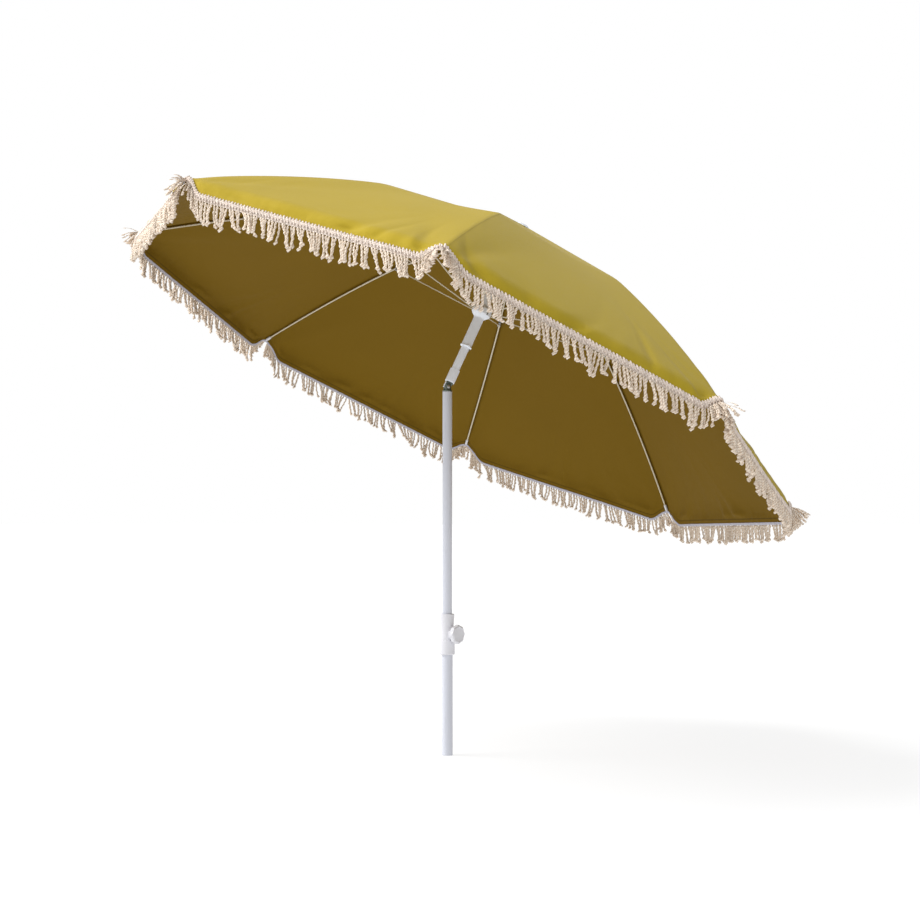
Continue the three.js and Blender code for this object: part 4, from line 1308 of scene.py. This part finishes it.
class MakeFringe(bpy.types.Operator):
    """Makes the hem's tape inside, the braid outside, and the hanging strands of the fringe"""

    bl_idname = "umbrella.make_fringe"
    bl_label = "Braid and fringe"

    def execute(self, context):
        sizes = context.scene.umbrella_sizes
        for sector in SECTORS:
            tape = self.tape(sector, sizes)
            braid = self.braid(sector, sizes)
            strands = self.strands(sector, sizes)
            for made in (tape, braid, strands):
                close_with_runner(made, sector)
        return {"FINISHED"}

    def strip(self, sector, low, high, offset, thickness, columns=200):
        """A band that follows the hem, between two distances up from its edge."""
        bm = bmesh.new()
        bmesh.ops.create_grid(bm, x_segments=columns, y_segments=3, size=0.5)
        weave = bm.loops.layers.uv.new("UVMap")
        spots = {}
        for vertex in bm.verts:
            side = -2 * vertex.co.x
            up = low + (high - low) * (0.5 - vertex.co.y)
            point, _, _, out = sector.hem_frame(side, hem_reach(side) - up)
            spots[vertex] = (side * 0.32, up)
            vertex.co = point + out * offset
        lay_uv(bm, weave, spots)
        bmesh.ops.solidify(bm, geom=bm.faces[:], thickness=thickness)
        bmesh.ops.recalc_face_normals(bm, faces=bm.faces)
        return bm

    def tape(self, sector, sizes):
        bm = self.strip(sector, 0.2 * MM, sizes.tape_width, -1.5 * MM, 0.6 * MM)
        bm.transform(sector.place)
        return piece(f"hem_tape_{sector.number}", bm, sector.arm, ["hem_tape"], sharp=50)

    def braid(self, sector, sizes):
        """Short slanted cords side by side on a backing, with every other one thicker and higher."""
        chance = random.Random(500 + sector.number)
        bm = self.strip(sector, 0, sizes.braid_width - 1.5 * MM, 1.2 * MM, 0.8 * MM)
        tone = bm.verts.layers.float.new("own_tone")
        blank = strand_blank(8, 7)
        width = sizes.braid_width
        for number, side in enumerate(evenly_along_hem(sector, sizes.cord_pitch)):
            raised = number % 2
            up = width / 2 + (LOOP_RISE if raised else 0)
            radius = CORD_RADIUS * (RAISED_GIRTH if raised else 1.0)
            point, along, down, out = sector.hem_frame(side, hem_reach(side) - up)
            lean = along * (0.16 + chance.uniform(-0.05, 0.05))
            axis = (down + lean).normalized()
            middle = point + out * (BRAID_OFFSET + chance.uniform(0.0, 0.4) * MM)
            reach = width / 2 * chance.uniform(0.95, 1.07)

            def line(t):
                bow = math.sin(math.pi * t) * 0.6 * MM
                return middle + axis * reach * (2 * t - 1) + out * bow

            def girth(t):
                return radius * min(1.0, math.sin(math.pi * t) * 1.7) ** 0.6

            add_strand(bm, blank, tone, line, girth, (along, out), chance.random())
        bpy.data.meshes.remove(blank)
        bm.transform(sector.place)
        return piece(f"braid_{sector.number}", bm, sector.arm, ["braid_cotton"], sharp=60)

    def strands(self, sector, sizes):
        """Twisted strands that hang in loose bunches, with a tuft standing out at the rib's tip."""
        chance = random.Random(900 + sector.number)
        bm = bmesh.new()
        bm.loops.layers.uv.new("UVMap")
        tone = bm.verts.layers.float.new("own_tone")
        blank = strand_blank(5, STRAND_RINGS)
        sides = evenly_along_hem(sector, sizes.strand_pitch)
        half_width = TIP_RADIUS * math.sin(HALF_GORE)
        tuft = [side for side in sides if abs(side) * half_width < 0.8 * TUFT_WIDTH]
        for row in (sides, tuft, tuft, tuft):
            place = 0
            while place < len(row):
                bunch = row[place:place + chance.choice((1, 2, 2, 3, 3, 4, 5))]
                place += len(bunch)
                self.bunch(sector, sizes, chance, bm, tone, blank, bunch)
        bpy.data.meshes.remove(blank)
        bm.transform(sector.place)
        name = f"fringe_{sector.number}"
        return piece(name + "_strands", bm, sector.arm, ["twisted_cotton"], [name], 70)

    def bunch(self, sector, sizes, chance, bm, tone, blank, sides):
        sway = chance.gauss(0, 5) * MM
        forward = chance.gauss(0, 3.0) * MM
        gather = chance.uniform(0.7, 1.15)
        drop = sizes.strand_length * chance.uniform(0.84, 1.02)
        middle = sum(sides) / len(sides)
        centre, _, _, _ = sector.hem_frame(middle, hem_reach(middle))
        down = sector.down
        for number, side in enumerate(sides):
            root, along, _, out = sector.hem_frame(side, hem_reach(side) - 2 * MM)
            root = root + out * (BRAID_OFFSET - 0.3 * MM)
            level = (along - down * along.dot(down)).normalized()
            clear = (out - down * out.dot(down)).normalized()
            girth = sizes.strand_radius * chance.uniform(0.85, 1.12)
            rank = number - (len(sides) - 1) / 2
            to_middle = (centre - root).dot(level) + rank * girth * chance.uniform(0.6, 1.9)
            tip_shift = to_middle * gather + sway + chance.gauss(0, 1.5) * MM
            tip_out = forward + chance.gauss(0, 2.4) * MM
            long = drop * chance.uniform(0.86, 1.06)
            curl = chance.gauss(0, 2.6) * MM
            hook = chance.choice((0, 0, 0, 0, -1, 1)) * chance.uniform(4, 9) * MM
            phase = chance.uniform(0, TAU)
            from_rib = root.y / TUFT_WIDTH
            wild = (1 - smooth(abs(from_rib))) * chance.uniform(0.55, 1.0)
            away = Vector((chance.uniform(0.6, 1.0), 0.7 * from_rib, chance.uniform(-0.35, 0.4)))
            away = (away + along * chance.gauss(0, 0.2)).normalized()

            def line(t):
                even = t * t * (3 - 2 * t)
                swing = tip_shift * (0.45 * t + 0.55 * even) + curl * math.sin(math.pi * t)
                swing += hook * max(0.0, t - 0.6) ** 2 * 6
                lift = tip_out * (0.4 * t + 0.6 * even) + 1.2 * MM * math.sin(math.pi * t)
                wind = phase + 2.1 * STRAND_RINGS * t
                swing = swing * (1 - wild) + STRAND_WIND * math.cos(wind)
                lift = lift + STRAND_WIND * math.sin(wind)
                fall = down * t * (1 - wild) + (away * t + down * 0.35 * t * t) * wild
                return root + fall * long + level * swing + clear * lift

            def thickness(t):
                body = girth * min(1.0, math.sin(math.pi * t) * 3.2) ** 0.5
                body *= 1 + STRAND_KNUCKLE * math.cos(math.pi * STRAND_RINGS * t)
                bulb = STRAND_BULB * math.exp(-(((t - BULB_PLACE) / BULB_SPREAD) ** 2))
                return max(body, bulb) if t > 0.6 else body

            add_strand(bm, blank, tone, line, thickness, (level, clear), chance.random())


# ---- the stage --------------------------------------------------------------------------
DIM_SIDE = Vector((0.606, -0.233, 0.75))
SKY_TOP = 0.3
SKY_SPAN = (0.45, 0.8)
KEY_STRENGTH = 3.3
KEY_WIDTH = math.radians(35)
KEY_PLACE = (-3, 1.2, 4)
KEY_WAY = Vector((0.6, -0.25, -0.76))
FLOOR_RADIUS = 60
CAMERA_PLACE = (-1.4077, -3.7352, 0.5659)
CAMERA_HEADING = math.radians(21.07)
CAMERA_PITCH = math.radians(1.62)
CAMERA_SENSOR = 36
CAMERA_LENS = 67.62


class MakeStage(bpy.types.Operator):
    """Sets the floor and backdrop, the soft lights and the camera"""

    bl_idname = "umbrella.make_stage"
    bl_label = "Stage"

    def execute(self, context):
        self.backdrop()
        self.lights(context)
        self.camera(context)
        return {"FINISHED"}

    def backdrop(self):
        """A wide, evenly lit floor."""
        bm = bmesh.new()
        bmesh.ops.create_circle(bm, cap_ends=True, segments=96, radius=FLOOR_RADIUS)
        mesh = bpy.data.meshes.new("studio_floor")
        bm.to_mesh(mesh)
        bm.free()
        mesh.materials.append(finish_named("studio_floor"))
        floor = bpy.data.objects.new("studio_floor", mesh)
        bpy.context.scene.collection.objects.link(floor)

    def lights(self, context):
        """A surround that looks white but lights less from overhead and the right, and a soft sun."""
        world = bpy.data.worlds.new("studio")
        world.use_nodes = True
        nodes, links = world.node_tree.nodes, world.node_tree.links
        place = nodes.new("ShaderNodeTexCoord")
        height = nodes.new("ShaderNodeVectorMath")
        height.operation = "DOT_PRODUCT"
        height.inputs[1].default_value = DIM_SIDE
        ramp = nodes.new("ShaderNodeValToRGB")
        for element, position, light in zip(ramp.color_ramp.elements, SKY_SPAN, (1, SKY_TOP)):
            element.position = position
            element.color = (light, light, light, 1)
        links.new(place.outputs["Generated"], height.inputs[0])
        links.new(height.outputs["Value"], ramp.inputs[0])
        seen = nodes.new("ShaderNodeLightPath")
        choice = nodes.new("ShaderNodeMix")
        choice.data_type = "RGBA"
        choice.inputs[7].default_value = (1, 1, 1, 1)
        links.new(seen.outputs["Is Camera Ray"], choice.inputs[0])
        links.new(ramp.outputs["Color"], choice.inputs[6])
        links.new(choice.outputs[2], nodes["Background"].inputs["Color"])
        context.scene.world = world
        lamp = bpy.data.lights.new("key", "SUN")
        lamp.energy = KEY_STRENGTH
        lamp.angle = KEY_WIDTH
        made = bpy.data.objects.new("key", lamp)
        made.location = KEY_PLACE
        made.rotation_euler = KEY_WAY.to_track_quat("-Z", "Y").to_euler()
        context.scene.collection.objects.link(made)
        context.scene.view_settings.view_transform = "Standard"

    def camera(self, context):
        lens = bpy.data.cameras.new("camera")
        lens.sensor_width = CAMERA_SENSOR
        lens.lens = CAMERA_LENS
        made = bpy.data.objects.new("camera", lens)
        made.location = CAMERA_PLACE
        heading, pitch = CAMERA_HEADING, CAMERA_PITCH
        ahead = Vector((
            math.sin(heading) * math.cos(pitch),
            math.cos(heading) * math.cos(pitch),
            math.sin(pitch),
        ))
        made.rotation_euler = ahead.to_track_quat("-Z", "Y").to_euler()
        context.scene.collection.objects.link(made)
        context.scene.camera = made


class UmbrellaPanel(bpy.types.Panel):
    """Lists the umbrella's pieces, sizes and colours"""

    bl_idname = "VIEW3D_PT_umbrella"
    bl_label = "Beach umbrella"
    bl_space_type = "VIEW_3D"
    bl_region_type = "UI"
    bl_category = "Umbrella"

    def draw(self, context):
        for group in (context.scene.umbrella_sizes, context.scene.umbrella_colours):
            for name in group.__annotations__:
                self.layout.prop(group, name)
        for maker in MAKERS:
            self.layout.operator(maker.bl_idname)


MAKERS = (
    MakeStage,
    MakePole,
    MakeClamp,
    MakeTiltJoint,
    MakeHead,
    MakeRunner,
    MakeRibs,
    MakeCanopy,
    MakeFringe,
)
CLASSES = (UmbrellaSizes, UmbrellaColours, *MAKERS, UmbrellaPanel)


def register():
    for entry in CLASSES:
        bpy.utils.register_class(entry)
    bpy.types.Scene.umbrella_sizes = bpy.props.PointerProperty(type=UmbrellaSizes)
    bpy.types.Scene.umbrella_colours = bpy.props.PointerProperty(type=UmbrellaColours)


def unregister():
    del bpy.types.Scene.umbrella_sizes
    del bpy.types.Scene.umbrella_colours
    for entry in reversed(CLASSES):
        bpy.utils.unregister_class(entry)


def main():
    """Builds the umbrella."""
    register()
    for maker in MAKERS:
        group, name = maker.bl_idname.split(".")
        getattr(getattr(bpy.ops, group), name)()


if __name__ == "__main__":
    main()
